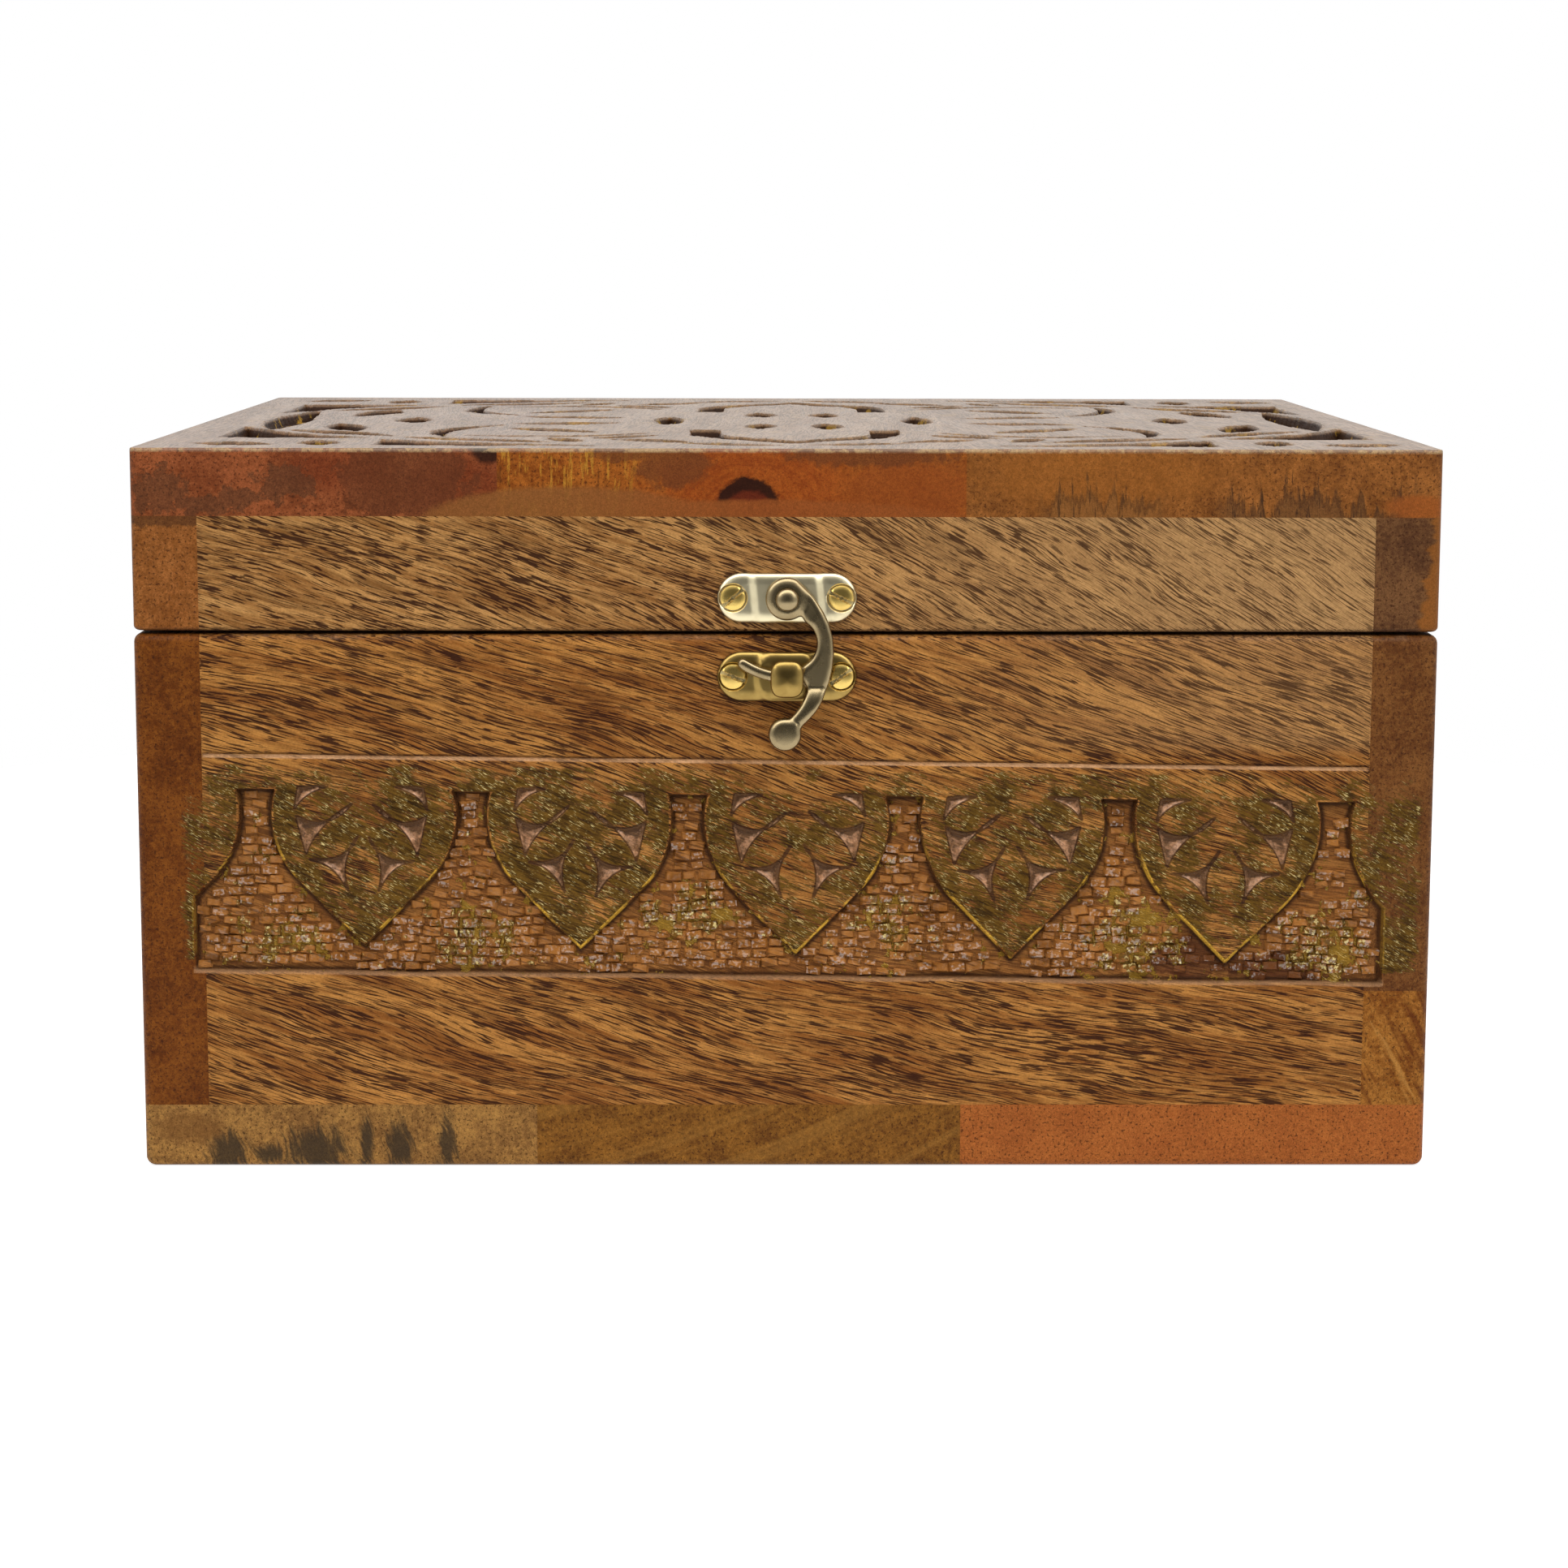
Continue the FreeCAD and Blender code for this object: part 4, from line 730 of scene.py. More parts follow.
    def dressed(self):
        """Lays stain, cuts with their painted light and shade, painted shade with some dirt, painted edge
        highlights and gold with painted glints over the wood in turn, and gives the finished material.
        """
        tree, raw, ground, strokes = self.tree, self.raw, self.ground, self.strokes
        crease, bright = self.crease(), self.bright()
        gilded = self.gilded(crease)
        # Fresh wood as a lit copy on facets that face up and a painted shaded copy on facets that face down.
        fresh = tree.blend(bright, [c * 0.22 for c in self.colours.raw], self.colours.raw)
        self.lay(ground * 0.5, GROUND_STAIN)
        self.lay(lacquer_pool(tree) * ground, LACQUER)
        # Fresh wood in the cuts and on the worn rim, with its painted light and shade.
        self.lay((raw * 0.85).most(self.worn_rim() * 0.4), fresh)
        # Painted shade, with some dirt, in the creases.
        self.lay(crease * 0.8, SHADE_AND_DIRT)
        # Painted highlights along the lower edges that face up.
        self.lay(self.pale_edges(), EDGE_HIGHLIGHT)
        self.lay(tree.step(tree.z, RIM - 0.15, RIM - 0.02) * 0.45, RIM_SHADOW)
        self.lay(gilded * 0.93, self.gold())
        self.lay(self.gilt_edges(), self.colours.gilt_edge)
        self.roughness = self.roughness * (1 - raw * 0.45) * (1 - ground * 0.2) - gilded * 0.1
        self.height = self.height + strokes * (0.3 + gilded * 1.2)
        self.height = self.height + tree.cloud(0.5, 2.0) * (gilded * 1.6 + raw)
        self.coat = raw * bright * 0.5
        return self.finish(bump=0.6, metallic=gilded * 0.5)


def on_front(tree):
    """1 on the front of the box, and 0 further back."""
    return tree.step(tree.y, FACE + 9, FACE + 5)


def gold_net(tree):
    """Where gold paint has run into the grooves of the punched ground."""
    spots = [(-98, 46, 9, 7), (-61, 46, 10, 7), (-19, 51, 9, 6), (20, 51, 7, 7), (68, 46, 13, 9),
             (107, 44, 10, 8)]
    patches = tree.inside(spots) * 0.2 * on_front(tree)
    return tree.step(tree.cloud(4.0, 4.0, 0.65, shift=77) + patches.most(-0.04), 0.55, 0.58)


def lacquer_pool(tree):
    """Where dark lacquer has pooled in the lower right of the front's ground."""
    pool = tree.inside([(80, 42, 11, 5), (97, 40, 12, 4)]) * on_front(tree)
    return tree.step(pool + (tree.cloud(3.0, 4.0, 0.6, shift=52) - 0.5) * 1.2, 0.05, 0.3) * 0.75


def carve_front(sizes, colours):
    """The front board with its carved band, between the ends of the side boards."""
    (x0, y0, floor), (x1, y1, rim) = span("front_board")
    band = front_band(sizes)
    columns = spaced(x0, (x1, GRID))
    rows = body_rows(floor, rim)
    u, z = np.meshgrid(columns, rows)
    inner = (z > SNAP_FROM - 0.5) & (z < SNAP_TO) & (u > x0 + 0.1) & (u < x1 - 0.1)
    u, z = np.where(inner, band.snap(u, z, GRID), (u, z))
    depth, layers = band.depth(u, z)
    depth = depth + rim_round(z, rim, RIM_ROUND)
    points = np.stack([u, y0 + depth, z], -1).reshape(-1, 3).tolist()
    across, up = len(columns), len(rows)
    at = np.arange(across * up).reshape(up, across)
    last = len(points)
    points += [(x0, y1, floor), (x1, y1, floor), (x1, y1, rim), (x0, y1, rim)]
    faces = sheet_faces(up, across)
    faces.append([last, last + 1, *at[0, ::-1].tolist()])
    faces.append([last + 3, last + 2, *at[-1, ::-1].tolist()])
    faces.append([last, last + 3, *at[::-1, 0].tolist()])
    faces.append([last + 1, last + 2, *at[::-1, -1].tolist()])
    faces.append([last, last + 1, last + 2, last + 3])
    layers = {name: [*values.ravel(), *[PLAIN.get(name, 0)] * 4] for name, values in layers.items()}
    return shape("carved_front", points, faces, CarvedWood("front_wood", sizes, colours).dressed(), layers)


def front_band(sizes):
    """The band along the front, with the shields at its ends cut by the corners."""
    low, high = span("front_board")
    scribed = (low[0] + 0.1, high[0] - 0.1)
    return Band(sizes, reach=2 * HALF_WIDTH, shift=1.9, ends=(-116.2, 117.6), scribed=scribed,
                tilt=LEVEL_TILT, seed=11)


def side_band(sizes, side):
    """The band along the left side (-1) or the right side (1)."""
    return Band(sizes, reach=2 * HALF_DEPTH, shift=0.0, ends=(-76.4, 76.2), scribed=(-79.4, 79.2),
                tilt=0.004 * side, seed=40 + side * 9)


def side_path(node, side):
    """The way round a side board from end grain to end grain, how it faces, and where its bevel starts."""
    (low, front, _), (high, back, _) = span(node)
    inner, outer = (high, low) if side < 0 else (low, high)
    straight = outer - side * CORNER_ROUND
    bevel_start = back - HINGE_INSET + LID_GAP / 2 / BEVEL_SLOPE
    turn = [(math.cos(a), math.sin(a)) for a in np.radians(np.linspace(0, 90, 8))[1:-1]]
    path = [(x, front, 0, -1) for x in spaced(inner, (straight, GRID))]
    for c, s in turn:
        path.append((outer - side * CORNER_ROUND * (1 - s), front + CORNER_ROUND * (1 - c), side * s, -c))
    path += [(outer, y, side, 0) for y in spaced(front + CORNER_ROUND, (bevel_start, GRID + 0.02))]
    bevel_at = len(path) - 1
    path += [(outer, y, side, 0) for y in np.linspace(bevel_start, back - CORNER_ROUND, 3)[1:]]
    for c, s in turn:
        path.append((outer - side * CORNER_ROUND * (1 - c), back - CORNER_ROUND * (1 - s), side * c, s))
    path += [(x, back, 0, 1) for x in np.linspace(straight, inner, 6)]
    path, facing = np.split(np.array(path, float), 2, axis=1)
    return path, facing, bevel_at


def carve_side(sizes, colours, node, side, slot):
    """A side board, wrapped from its end grain at the front round to its end grain at the back."""
    floor, rim = (corner[2] for corner in span(node))
    path, facing, bevel_at = side_path(node, side)
    bevel_start = path[bevel_at, 1]
    rows = body_rows(floor, rim)[:, None]
    top = np.minimum(rim, rim - (path[:, 1] - bevel_start) * BEVEL_SLOPE)
    z = floor + (rows - floor) * ((top - floor) / (rim - floor))
    z = np.where(rows < LEVEL_TO, rows, z)
    at_front = facing[:, 1] < -0.99
    on_side = np.abs(facing[:, 0]) > 0.99
    u = np.where(at_front, path[:, 0], path[:, 1]) * np.ones_like(z)
    ends, wall = front_band(sizes), side_band(sizes, side)
    inner = on_side & (z > SNAP_FROM) & (z < SNAP_TO) & (np.abs(u) < SNAP_REACH)
    u, z = np.where(inner, wall.snap(u, z, GRID), (u, z))
    depth, layers = wall.depth(u, z)
    front_depth, front_layers = ends.depth(u, z)

    def joined(wall_values, front_values, plain):
        """The wall's values on the side, the front's on the end grain there, and plain ones elsewhere."""
        return np.where(on_side, wall_values, np.where(at_front, front_values, plain))

    depth = joined(depth, front_depth, 0)
    layers = {name: joined(values, front_layers[name], PLAIN.get(name, 0)) for name, values in layers.items()}
    depth = depth + rim_round(z, rim, RIM_ROUND) * (path[:, 1] < bevel_start - 1)
    x = path[:, 0] - facing[:, 0] * depth
    y = np.where(on_side, u, path[:, 1]) - facing[:, 1] * depth
    points = np.stack([x, y, z], -1).reshape(-1, 3).tolist()
    up, across = z.shape
    at = np.arange(up * across).reshape(up, across)
    faces = sheet_faces(up, across)
    knee = len(points)
    points.append((path[0, 0], bevel_start, rim))
    faces.append(at[0].tolist())
    faces.append([*at[-1, :bevel_at + 1].tolist(), knee])
    faces.append([*at[-1, bevel_at:].tolist(), knee])
    faces.append([*at[:, 0].tolist(), knee, *at[::-1, -1].tolist()])
    layers = {name: [*values.ravel(), PLAIN.get(name, 0)] for name, values in layers.items()}
    return shape(f"carved_{node}", points, faces, CarvedWood(slot, sizes, colours).dressed(), layers)


# Sunk cells of the carved top, one for each set mirrored over the lid: what its distances along and across
# the lid count from, then for each corner both distances and the bulge of the run that leaves it to the left.
TOP_CELLS = (
    ("end", "edge", [(8.0, 15.0, 4.0), (23.0, 12.5, 4.0)]),
    ("end", "edge", [(31.5, 24.0, 3.4), (33.0, 11.0, 3.4)]),
    ("end", "edge", [(44.0, 26.0, 0.0), (44.0, 10.0, 0.0), (87.0, 9.7, 1.6)]),
    ("end", "edge", [(10.0, 64.0, 0.0), (10.0, 31.0, 0.0), (39.0, 31.0, 2.7)]),
    ("end", "middle", [(16.5, -32.0, 3.0), (16.5, 32.0, 5.5)]),
    ("end", "middle", [(21.0, 34.0, 4.0), (44.0, 53.0, 2.3)]),
    ("end", "edge", [(48.0, 32.0, 3.5), (77.0, 19.5, 2.4)]),
    ("end", "middle", [(28.0, 13.0, 4.0), (35.0, 37.0, 4.0)]),
    ("end", "middle", [(43.0, -9.0, 3.5), (43.0, 9.0, 3.5)]),
    ("end", "middle", [(55.0, 53.0, 8.0), (64.0, 18.0, -4.5)]),
    ("middle", "edge", [(50.0, 31.5, 2.4), (43.5, 21.0, 2.4)]),
    ("middle", "edge", [(41.0, 31.5, 2.6), (29.0, 40.0, 2.6)]),
    ("middle", "edge", [(36.5, 28.0, 2.8), (21.5, 19.5, 2.8)]),
    ("middle", "edge", [(22.5, 17.0, 2.4), (3.5, 11.4, 2.2)]),
    ("middle", "middle", [(31.0, 43.0, 7.0), (67.0, 50.0, -4.6)]),
    ("middle", "middle", [(42.0, 40.0, 3.5), (60.0, 27.0, 3.5)]),
    ("middle", "middle", [(39.0, 9.0, 3.3), (60.0, 13.0, 3.3)]),
    ("middle", "middle", [(27.5, -13.0, 3.0), (27.5, 13.0, 3.0)]),
    ("middle", "middle", [(7.0, 12.0, 3.2), (7.5, 28.0, 3.2)]),
    ("middle", "edge", [(21.5, 57.0, 0.0), (21.5, 43.0, -2.5), (9.0, 26.5, 0.0), (0.0, 18.0, 0.0),
                        (-9.0, 26.5, -2.5), (-21.5, 43.0, 0.0), (-21.5, 57.0, 0.0), (-16.0, 57.0, 0.0),
                        (-16.0, 44.0, 2.0), (-6.5, 30.5, 0.0), (0.0, 22.5, 0.0), (6.5, 30.5, 2.0),
                        (16.0, 44.0, 0.0), (16.0, 57.0, 0.0)]),
)


def cell_outline(along_from, across_from, corners):
    """A cell's outline from the middle of the lid, its arcs drawn with short runs."""
    points = []
    for x, y, bulge in corners:
        points.append((HALF_WIDTH - x if along_from == "end" else x,
                       HALF_DEPTH - y if across_from == "edge" else y, bulge))
    loop = []
    for (x0, y0, bulge), (x1, y1, _) in zip(points, points[1:] + points[:1]):
        dx, dy = x1 - x0, y1 - y0
        size = math.hypot(dx, dy)
        for t in np.linspace(0, 1, 12 if bulge else 2)[:-1]:
            out = bulge * 4 * t * (1 - t)
            loop.append((x0 + dx * t - dy / size * out, y0 + dy * t + dx / size * out))
    return loop


TOP_OUTLINES = [cell_outline(*cell) for cell in TOP_CELLS]
# How far a cell's wall leans, how much wider than the solid's the cell is cut, and the steps in from an edge
# of the lid and from a joint between two staves.
CELL_WALL = 0.8
CELL_ROOM = 0.5
EDGE_STEPS = (0, 0.1, 0.3, 0.6, 0.9, 1.2, 1.6, 2.2)
JOINT_STEPS = (0, 0.25)
# Shades of the top: a painted sheen on its waxed faces, painted shade with some stain in its sunk cells, and
# its worn edges.
PAINTED_SHEEN = "#968873"
CELL_DARK = "#26140a"
WORN_EDGE = "#b99a6c"


def top_sunk(x, y, shift):
    """How far each place on the top lies inside a sunk cell; negative on the raised faces."""
    u = np.abs(x - shift + wobble(x, y, 5, 0.5))
    v = np.abs(y + wobble(x, y, 6, 0.5))
    inside = np.full(np.shape(x), -FAR)
    for loop in TOP_OUTLINES:
        low, high = np.min(loop, 0) - 6, np.max(loop, 0) + 6
        near = (u > low[0]) & (u < high[0]) & (v > low[1]) & (v < high[1])
        if near.any():
            inside[near] = np.maximum(inside[near], depth_inside(u[near], v[near], loop))
    return inside + CELL_ROOM


def top_lines(low, high, low_steps, high_steps):
    """Places of the grid lines over one stave of the top, closer along its edges."""
    first = [low + step for step in low_steps]
    last = [high - step for step in reversed(high_steps)]
    return np.array(first[:-1] + list(spaced(first[-1], (last[0], TOP_GRID))) + last[1:])


def carve_top(sizes, colours, node, slot, stain):
    """One stave of the carved top."""
    (x0, y0, floor), (x1, y1, top) = span(node)
    shift, deep = sizes.top_shift / MM, sizes.top_depth / MM
    left_end, right_end = abs(x0 + HALF_WIDTH) < 0.1, abs(x1 - HALF_WIDTH) < 0.1
    columns = top_lines(x0, x1, *(EDGE_STEPS if end else JOINT_STEPS for end in (left_end, right_end)))
    x, y = np.meshgrid(columns, top_lines(y0, y1, EDGE_STEPS, EDGE_STEPS))
    inner = (x > x0 + 3) & (x < x1 - 3) & (np.abs(y) < y1 - 4)
    moved = snap_to(lambda u, v: top_sunk(u, v, shift), (0.0, CELL_WALL), x, y, TOP_GRID)
    x, y = np.where(inner, moved, (x, y))
    from_end = np.minimum(x - x0 if left_end else FAR, x1 - x if right_end else FAR)
    gap = CORNER_ROUND - np.clip(from_end, 0, CORNER_ROUND)
    draw = CORNER_ROUND - np.sqrt(CORNER_ROUND ** 2 - gap ** 2)
    near_edge = np.clip((np.abs(y) - (y1 - 8)) / 8, 0, 1)
    y = np.sign(y) * (np.abs(y) - draw * near_edge)
    inside = top_sunk(x, y, shift)
    sunk = rise(inside, 0, CELL_WALL)
    lip = np.exp(-np.clip(-inside, 0, FAR) / 0.5) * (inside <= 0) * 0.2
    relief = sunk * deep + lip + wobble(x, y, 9, 0.1) + 0.1 + wobble(x * 3, y * 3, 10, 0.12) * sunk
    from_rim = np.minimum(y1 - draw - np.abs(y), from_end)
    over = np.clip(LID_ROUND - from_rim, 0, LID_ROUND)
    relief = relief * np.clip(from_rim / 1.5, 0, 1) + LID_ROUND - np.sqrt(LID_ROUND ** 2 - over ** 2)
    points = np.stack([x, y, top - relief], -1).reshape(-1, 3).tolist()
    up, across = x.shape
    at = np.arange(up * across).reshape(up, across)
    faces = sheet_faces(up, across)
    around = [*at[0].tolist(), *at[1:, -1].tolist(), *at[-1, -2::-1].tolist(), *at[-2:0:-1, 0].tolist()]
    below = len(points)
    points += [(points[i][0], points[i][1], floor) for i in around]
    count = len(around)
    for i in range(count):
        j = (i + 1) % count
        faces.append([around[i], around[j], below + j, below + i])
    faces.append([below + i for i in range(count)])
    layers = {"sunk": [*sunk.ravel(), *([0] * count)]}
    return shape(f"carved_{node}", points, faces, top_material(slot, colours, stain), layers)


def top_material(slot, colours, stain):
    """Wood of the carved top: waxed raised faces with a painted sheen, sunk cells darkened by painted shade
    and some stain with gold left in them, stained ends.
    """
    wood = Wood(slot, colours, 0.6)
    tree = wood.tree
    plain = wood.colour
    stain(wood)
    wood.colour = tree.blend(wood.end, plain, wood.colour)
    sunk = tree.layer("sunk")
    face = tree.step(tree.z, TOP - 1.0, TOP - 0.4) * (1 - sunk)
    # Painted sheen on the raised faces.
    wood.lay(face * 0.35, PAINTED_SHEEN)
    # Painted shade, with some stain, in the sunk cells.
    wood.lay(tree.step(sunk, 0.05, 0.4) * 0.93, CELL_DARK)
    patches = tree.cloud(6.0, 4.0, 0.6, shift=55)
    gilt = tree.step(patches, 0.58, 0.63) * (1 - wood.end) * (0.15 + sunk * 0.7)
    wood.lay(gilt, colours.gilt_edge)
    worn = tree.step(abs(tree.y), HALF_DEPTH - 2.0, HALF_DEPTH - 0.9)
    worn = tree.step(tree.z, TOP - 1.0, TOP - 0.5) * worn
    worn = worn * tree.step(tree.cloud(2.5, 5.0, 0.7, shift=21), 0.46, 0.56)
    wood.lay(worn * 0.6, WORN_EDGE)
    wood.height = wood.height + tree.cloud(1.3, 2.0) * sunk
    wood.roughness = wood.roughness - face * 0.12 + sunk * 0.1
    wood.coat = face * 0.34
    return wood.finish(bump=0.3, metallic=gilt * 0.5)


def stain_lid_left(wood):
    """Grey-brown stains on the end grain of the left stave."""
    wood.patch([(-62, ROOF + 6, 9, 6), (-88, ROOF + 9, 10, 4)], "#64260d",
               strength=0.5, ragged=0.5, soft=0.5, size=5.0)
    wood.patch([(-74, ROOF + 7, 13, 8)], "#552e18", strength=0.6, ragged=0.9, soft=0.05, size=4.0)
    greys = [(-97, ROOF + 6.4, 5.5, 3.6), (-106, ROOF + 3.4, 4, 2.4), (-121, ROOF + 4.6, 5, 4.4),
             (-113, ROOF + 2.2, 6, 2)]
    wood.patch(greys, "#4a321f", strength=0.55, ragged=1.7, soft=0.05, size=2.4)
    wood.patch([(-57.5, ROOF + 12.6, 3.4, 2.4)], "#1f0d06", strength=0.9, ragged=0.3, soft=0.3, size=3.0)
    lower_smear(wood)


def stain_lid_middle(wood):
    """Yellow streaks, a dark knot and a smear along the lower edge of the middle stave."""
    tree = wood.tree
    away = ((tree.x + 8) ** 2.0 + ((tree.z - ROOF - 1.0) * 1.25) ** 2.0) ** 0.5
    wood.patch([(-6, ROOF + 3, 22, 13), (22, ROOF + 4, 14, 7)], "#934314",
               strength=0.6, ragged=0.4, soft=0.35, size=6.0)
    wood.patch([(24, ROOF + 5, 13, 9)], "#7c4018", strength=0.55, ragged=0.6, soft=0.4, size=4.0)
    rings = tree.noise(away / 1.7 + (tree.cloud(7.0, 3.0) - 0.5) * 3.0, 2.0, tree.y / 80, 4.0, 0.65)
    wood.lay(tree.step(rings, 0.42, 0.66) * tree.step(away, 26, 10) * 0.5, "#6b270a")
    streaks = tree.noise(tree.x / 1.0, tree.y / 50, tree.z / 7, 4.0, 0.65)
    wood.lay(tree.step(streaks, 0.52, 0.60) * tree.step(tree.x, -26, -34) * 0.65, "#b5822b")
    wood.lay(tree.step(streaks, 0.40, 0.34) * tree.step(tree.x, -26, -40) * 0.7, "#57300f")
    browns = [(-22, ROOF + 9.8, 7, 4.2), (-30, ROOF + 12.4, 8, 1.8), (16, ROOF + 12.9, 17, 3.2)]
    wood.patch(browns, "#61361a", strength=0.75, ragged=1.0, soft=0.2, size=2.4)
    wood.patch([(-7.6, ROOF + 2.2, 6.0, 5.4)], "#200d07", strength=0.95, ragged=0.3, soft=0.08, size=3.0)
    wood.patch([(-7.2, ROOF + 2.0, 4.2, 3.0)], "#5f2410", strength=0.9, ragged=0.35, soft=0.2, size=2.0)
    lower_smear(wood)


def lower_smear(wood):
    """A brown smear along the lower edge, over the joint of the left and middle staves."""
    tree = wood.tree
    smear = [(-42, ROOF - 0.8, 28, 6.6), (-4, ROOF - 1.6, 40, 4.9)]
    brown = tree.blend(tree.step(tree.x, -50, 0), "#835227", "#8a4a1f")
    wood.patch(smear, brown, strength=0.9, ragged=0.12, soft=0.1, size=5.0)


def stain_lid_right(wood):
    """Grey flames that rise from the lower edge of the right stave."""
    wood.patch([(60, ROOF + 8, 26, 6)], "#94591f", strength=0.5, ragged=0.7, soft=0.5, size=5.0)
    wood.flames(84, 121, z=ROOF, height=8.6, over="#5f4024", line="#352316", size=3.6)
    wood.flames(50, 72, z=ROOF + 0.8, height=7.0, over="#86582b", line="#442c17", size=3.0)
    wood.patch([(122, ROOF + 2.0, 6, 2.4)], "#94501f", strength=0.8, ragged=0.4, soft=0.3, size=4.0)


def angles_round(sides):
    """Even angles once round."""
    return np.linspace(0, 2 * math.pi, sides + 1)[:-1]


def arc(radius, angles, x=0.0, z=0.0):
    """Points at angles round a middle."""
    return [(x + radius * math.cos(a), z + radius * math.sin(a)) for a in angles]


def disc(radius, sides):
    """A round outline."""
    return arc(radius, angles_round(sides))


def open_edges(triangles):
    """The edges that only one triangle has."""
    seen = dict.fromkeys((a, b) for t in triangles for a, b in zip(t, t[1:] + t[:1]))
    return [(a, b) for a, b in seen if (b, a) not in seen]


def triangulated(points, edges):
    """Joins flat points to triangles that keep the given edges."""
    places, _, triangles, *_ = geometry.delaunay_2d_cdt([Vector(p) for p in points], edges, [], 0, 1e-5)
    return np.array([tuple(place) for place in places]), np.array(triangles)


def spread_inside(loops, inside, ease, step, rings):
    """Points inside an outline: an even grid, rings round the screws' seats and rows along eased edges."""
    low, high = np.min(np.concatenate(loops), 0), np.max(np.concatenate(loops), 0)
    u, v = np.meshgrid(np.arange(low[0], high[0], step), np.arange(low[1], high[1], step))
    u = u + (np.arange(len(u)) % 2)[:, None] * step / 2
    grid = np.stack([u.ravel(), v.ravel()], 1)
    grid = grid[inside(*grid.T) > ease * 1.05]
    rows = []
    for x, z, radius in rings:
        grid = grid[np.abs(np.hypot(grid[:, 0] - x, grid[:, 1] - z) - radius) > step * 0.5]
        rows.append(np.array(disc(radius, 56)) + (x, z))
    for loop in map(np.asarray, loops):
        way = np.roll(loop, -1, 0) - np.roll(loop, 1, 0)
        normal = np.stack([-way[:, 1], way[:, 0]], 1) / np.maximum(np.hypot(*way.T), 1e-9)[:, None]
        for share in (0.1, 0.3, 0.6, 1.0):
            for sign in (1, -1):
                moved = loop + normal * sign * ease * share
                rows.append(moved[np.abs(inside(*moved.T) - ease * share) < 0.06 * ease])
    return np.concatenate([grid, *rows])


def pillow(name, loops, back, front, ease, fall, step, material, lift=None, rings=()):
    """A cast piece on the front: an outline between two heights above the face, with edges that ease over."""
    def inside(u, v):
        """How far places lie inside the outline and outside its holes."""
        deepest = depth_inside(u, v, loops[0])
        for hole in loops[1:]:
            deepest = np.minimum(deepest, -depth_inside(u, v, hole))
        return deepest

    edges, points = [], []
    for loop in loops:
        first = len(points)
        points += [tuple(map(float, p)) for p in loop]
        edges += [(first + i, first + (i + 1) % len(loop)) for i in range(len(loop))]
    points += [tuple(p) for p in spread_inside(loops, inside, ease, step, rings)]
    flat, triangles = triangulated(points, edges)
    triangles = triangles[inside(*flat[triangles].mean(1).T) > 0]
    used = np.unique(triangles)
    flat = flat[used]
    triangles = np.searchsorted(used, triangles).tolist()
    away = np.clip(inside(*flat.T), 0, ease)
    drop = fall * (1 - np.sqrt(np.maximum(1 - (1 - away / ease) ** 2, 0)))
    over = lift(*flat.T) if lift else 0
    near = front + over - drop
    far = np.minimum(back + drop * 0.6 + (over if lift and back > 1 else 0), near - 0.05)
    count = len(flat)
    solid = [(u, FACE - h, v) for heights in (near, far) for (u, v), h in zip(flat, heights)]
    faces = triangles + [[count + i for i in reversed(t)] for t in triangles]
    faces += [[a, b, count + b, count + a] for a, b in open_edges(triangles)]
    return shape(name, solid, faces, material, sharp=40)


def turned(name, rings, place, sides, square, material):
    """A knob or dome: rings of half width, half height and height above the face, closed at both ends."""
    points, faces = [], []
    x, z = place
    for half_x, half_z, height in rings:
        for a in angles_round(sides):
            c, s = math.cos(a), math.sin(a)
            k = (abs(c) ** square + abs(s) ** square) ** (-1 / square)
            points.append((x + half_x * c * k, FACE - height, z + half_z * s * k))
    for ring in range(len(rings) - 1):
        for i in range(sides):
            j = (i + 1) % sides
            faces.append([ring * sides + i, ring * sides + j, (ring + 1) * sides + j, (ring + 1) * sides + i])
    faces.append(list(range(sides)))
    faces.append(list(range((len(rings) - 1) * sides, len(rings) * sides)))
    return shape(name, points, faces, material, sharp=50)


def stadium(half_length, half_width):
    """A long plate with round ends."""
    run = half_length - half_width
    right = arc(half_width, np.linspace(-1.5708, 1.5708, 25), run)
    middle = [(x, half_width) for x in np.linspace(run, -run, 26)[1:-1]]
    left = [(-x, -y) for x, y in right]
    return right + middle + left + [(-x, -half_width) for x, y in middle]


# The latch in millimetres: the plates, their screws and seats, the hook's eye, prong and ball, and the catch.
PLATE_HALF = (13.55, 4.85)
SCREW_PLACES = (-10.5, 10.5)
SEAT_RADII = (2.56, 2.66, 2.78, 2.9)
SEAT_DEPTH = 0.42
EYE_RADIUS = 4.2
BORE_RADIUS = 1.56
PRONG_REACH = 15.2
PRONG_HALF = 1.05
BALL_RADIUS = 3.25
BALL_PLACE = (-0.4, -26.2)
TAIL_FROM = 17.2
STEM_RADIUS = 2.85
STEM_SLOT_HALF = 1.45


def seats(u, v):
    """The shallow seats that the screw heads of a plate lie in."""
    shares = [1 - rise(np.hypot(u - x, v), SEAT_RADII[0], SEAT_RADII[-1]) for x in SCREW_PLACES]
    return -SEAT_DEPTH * sum(shares)


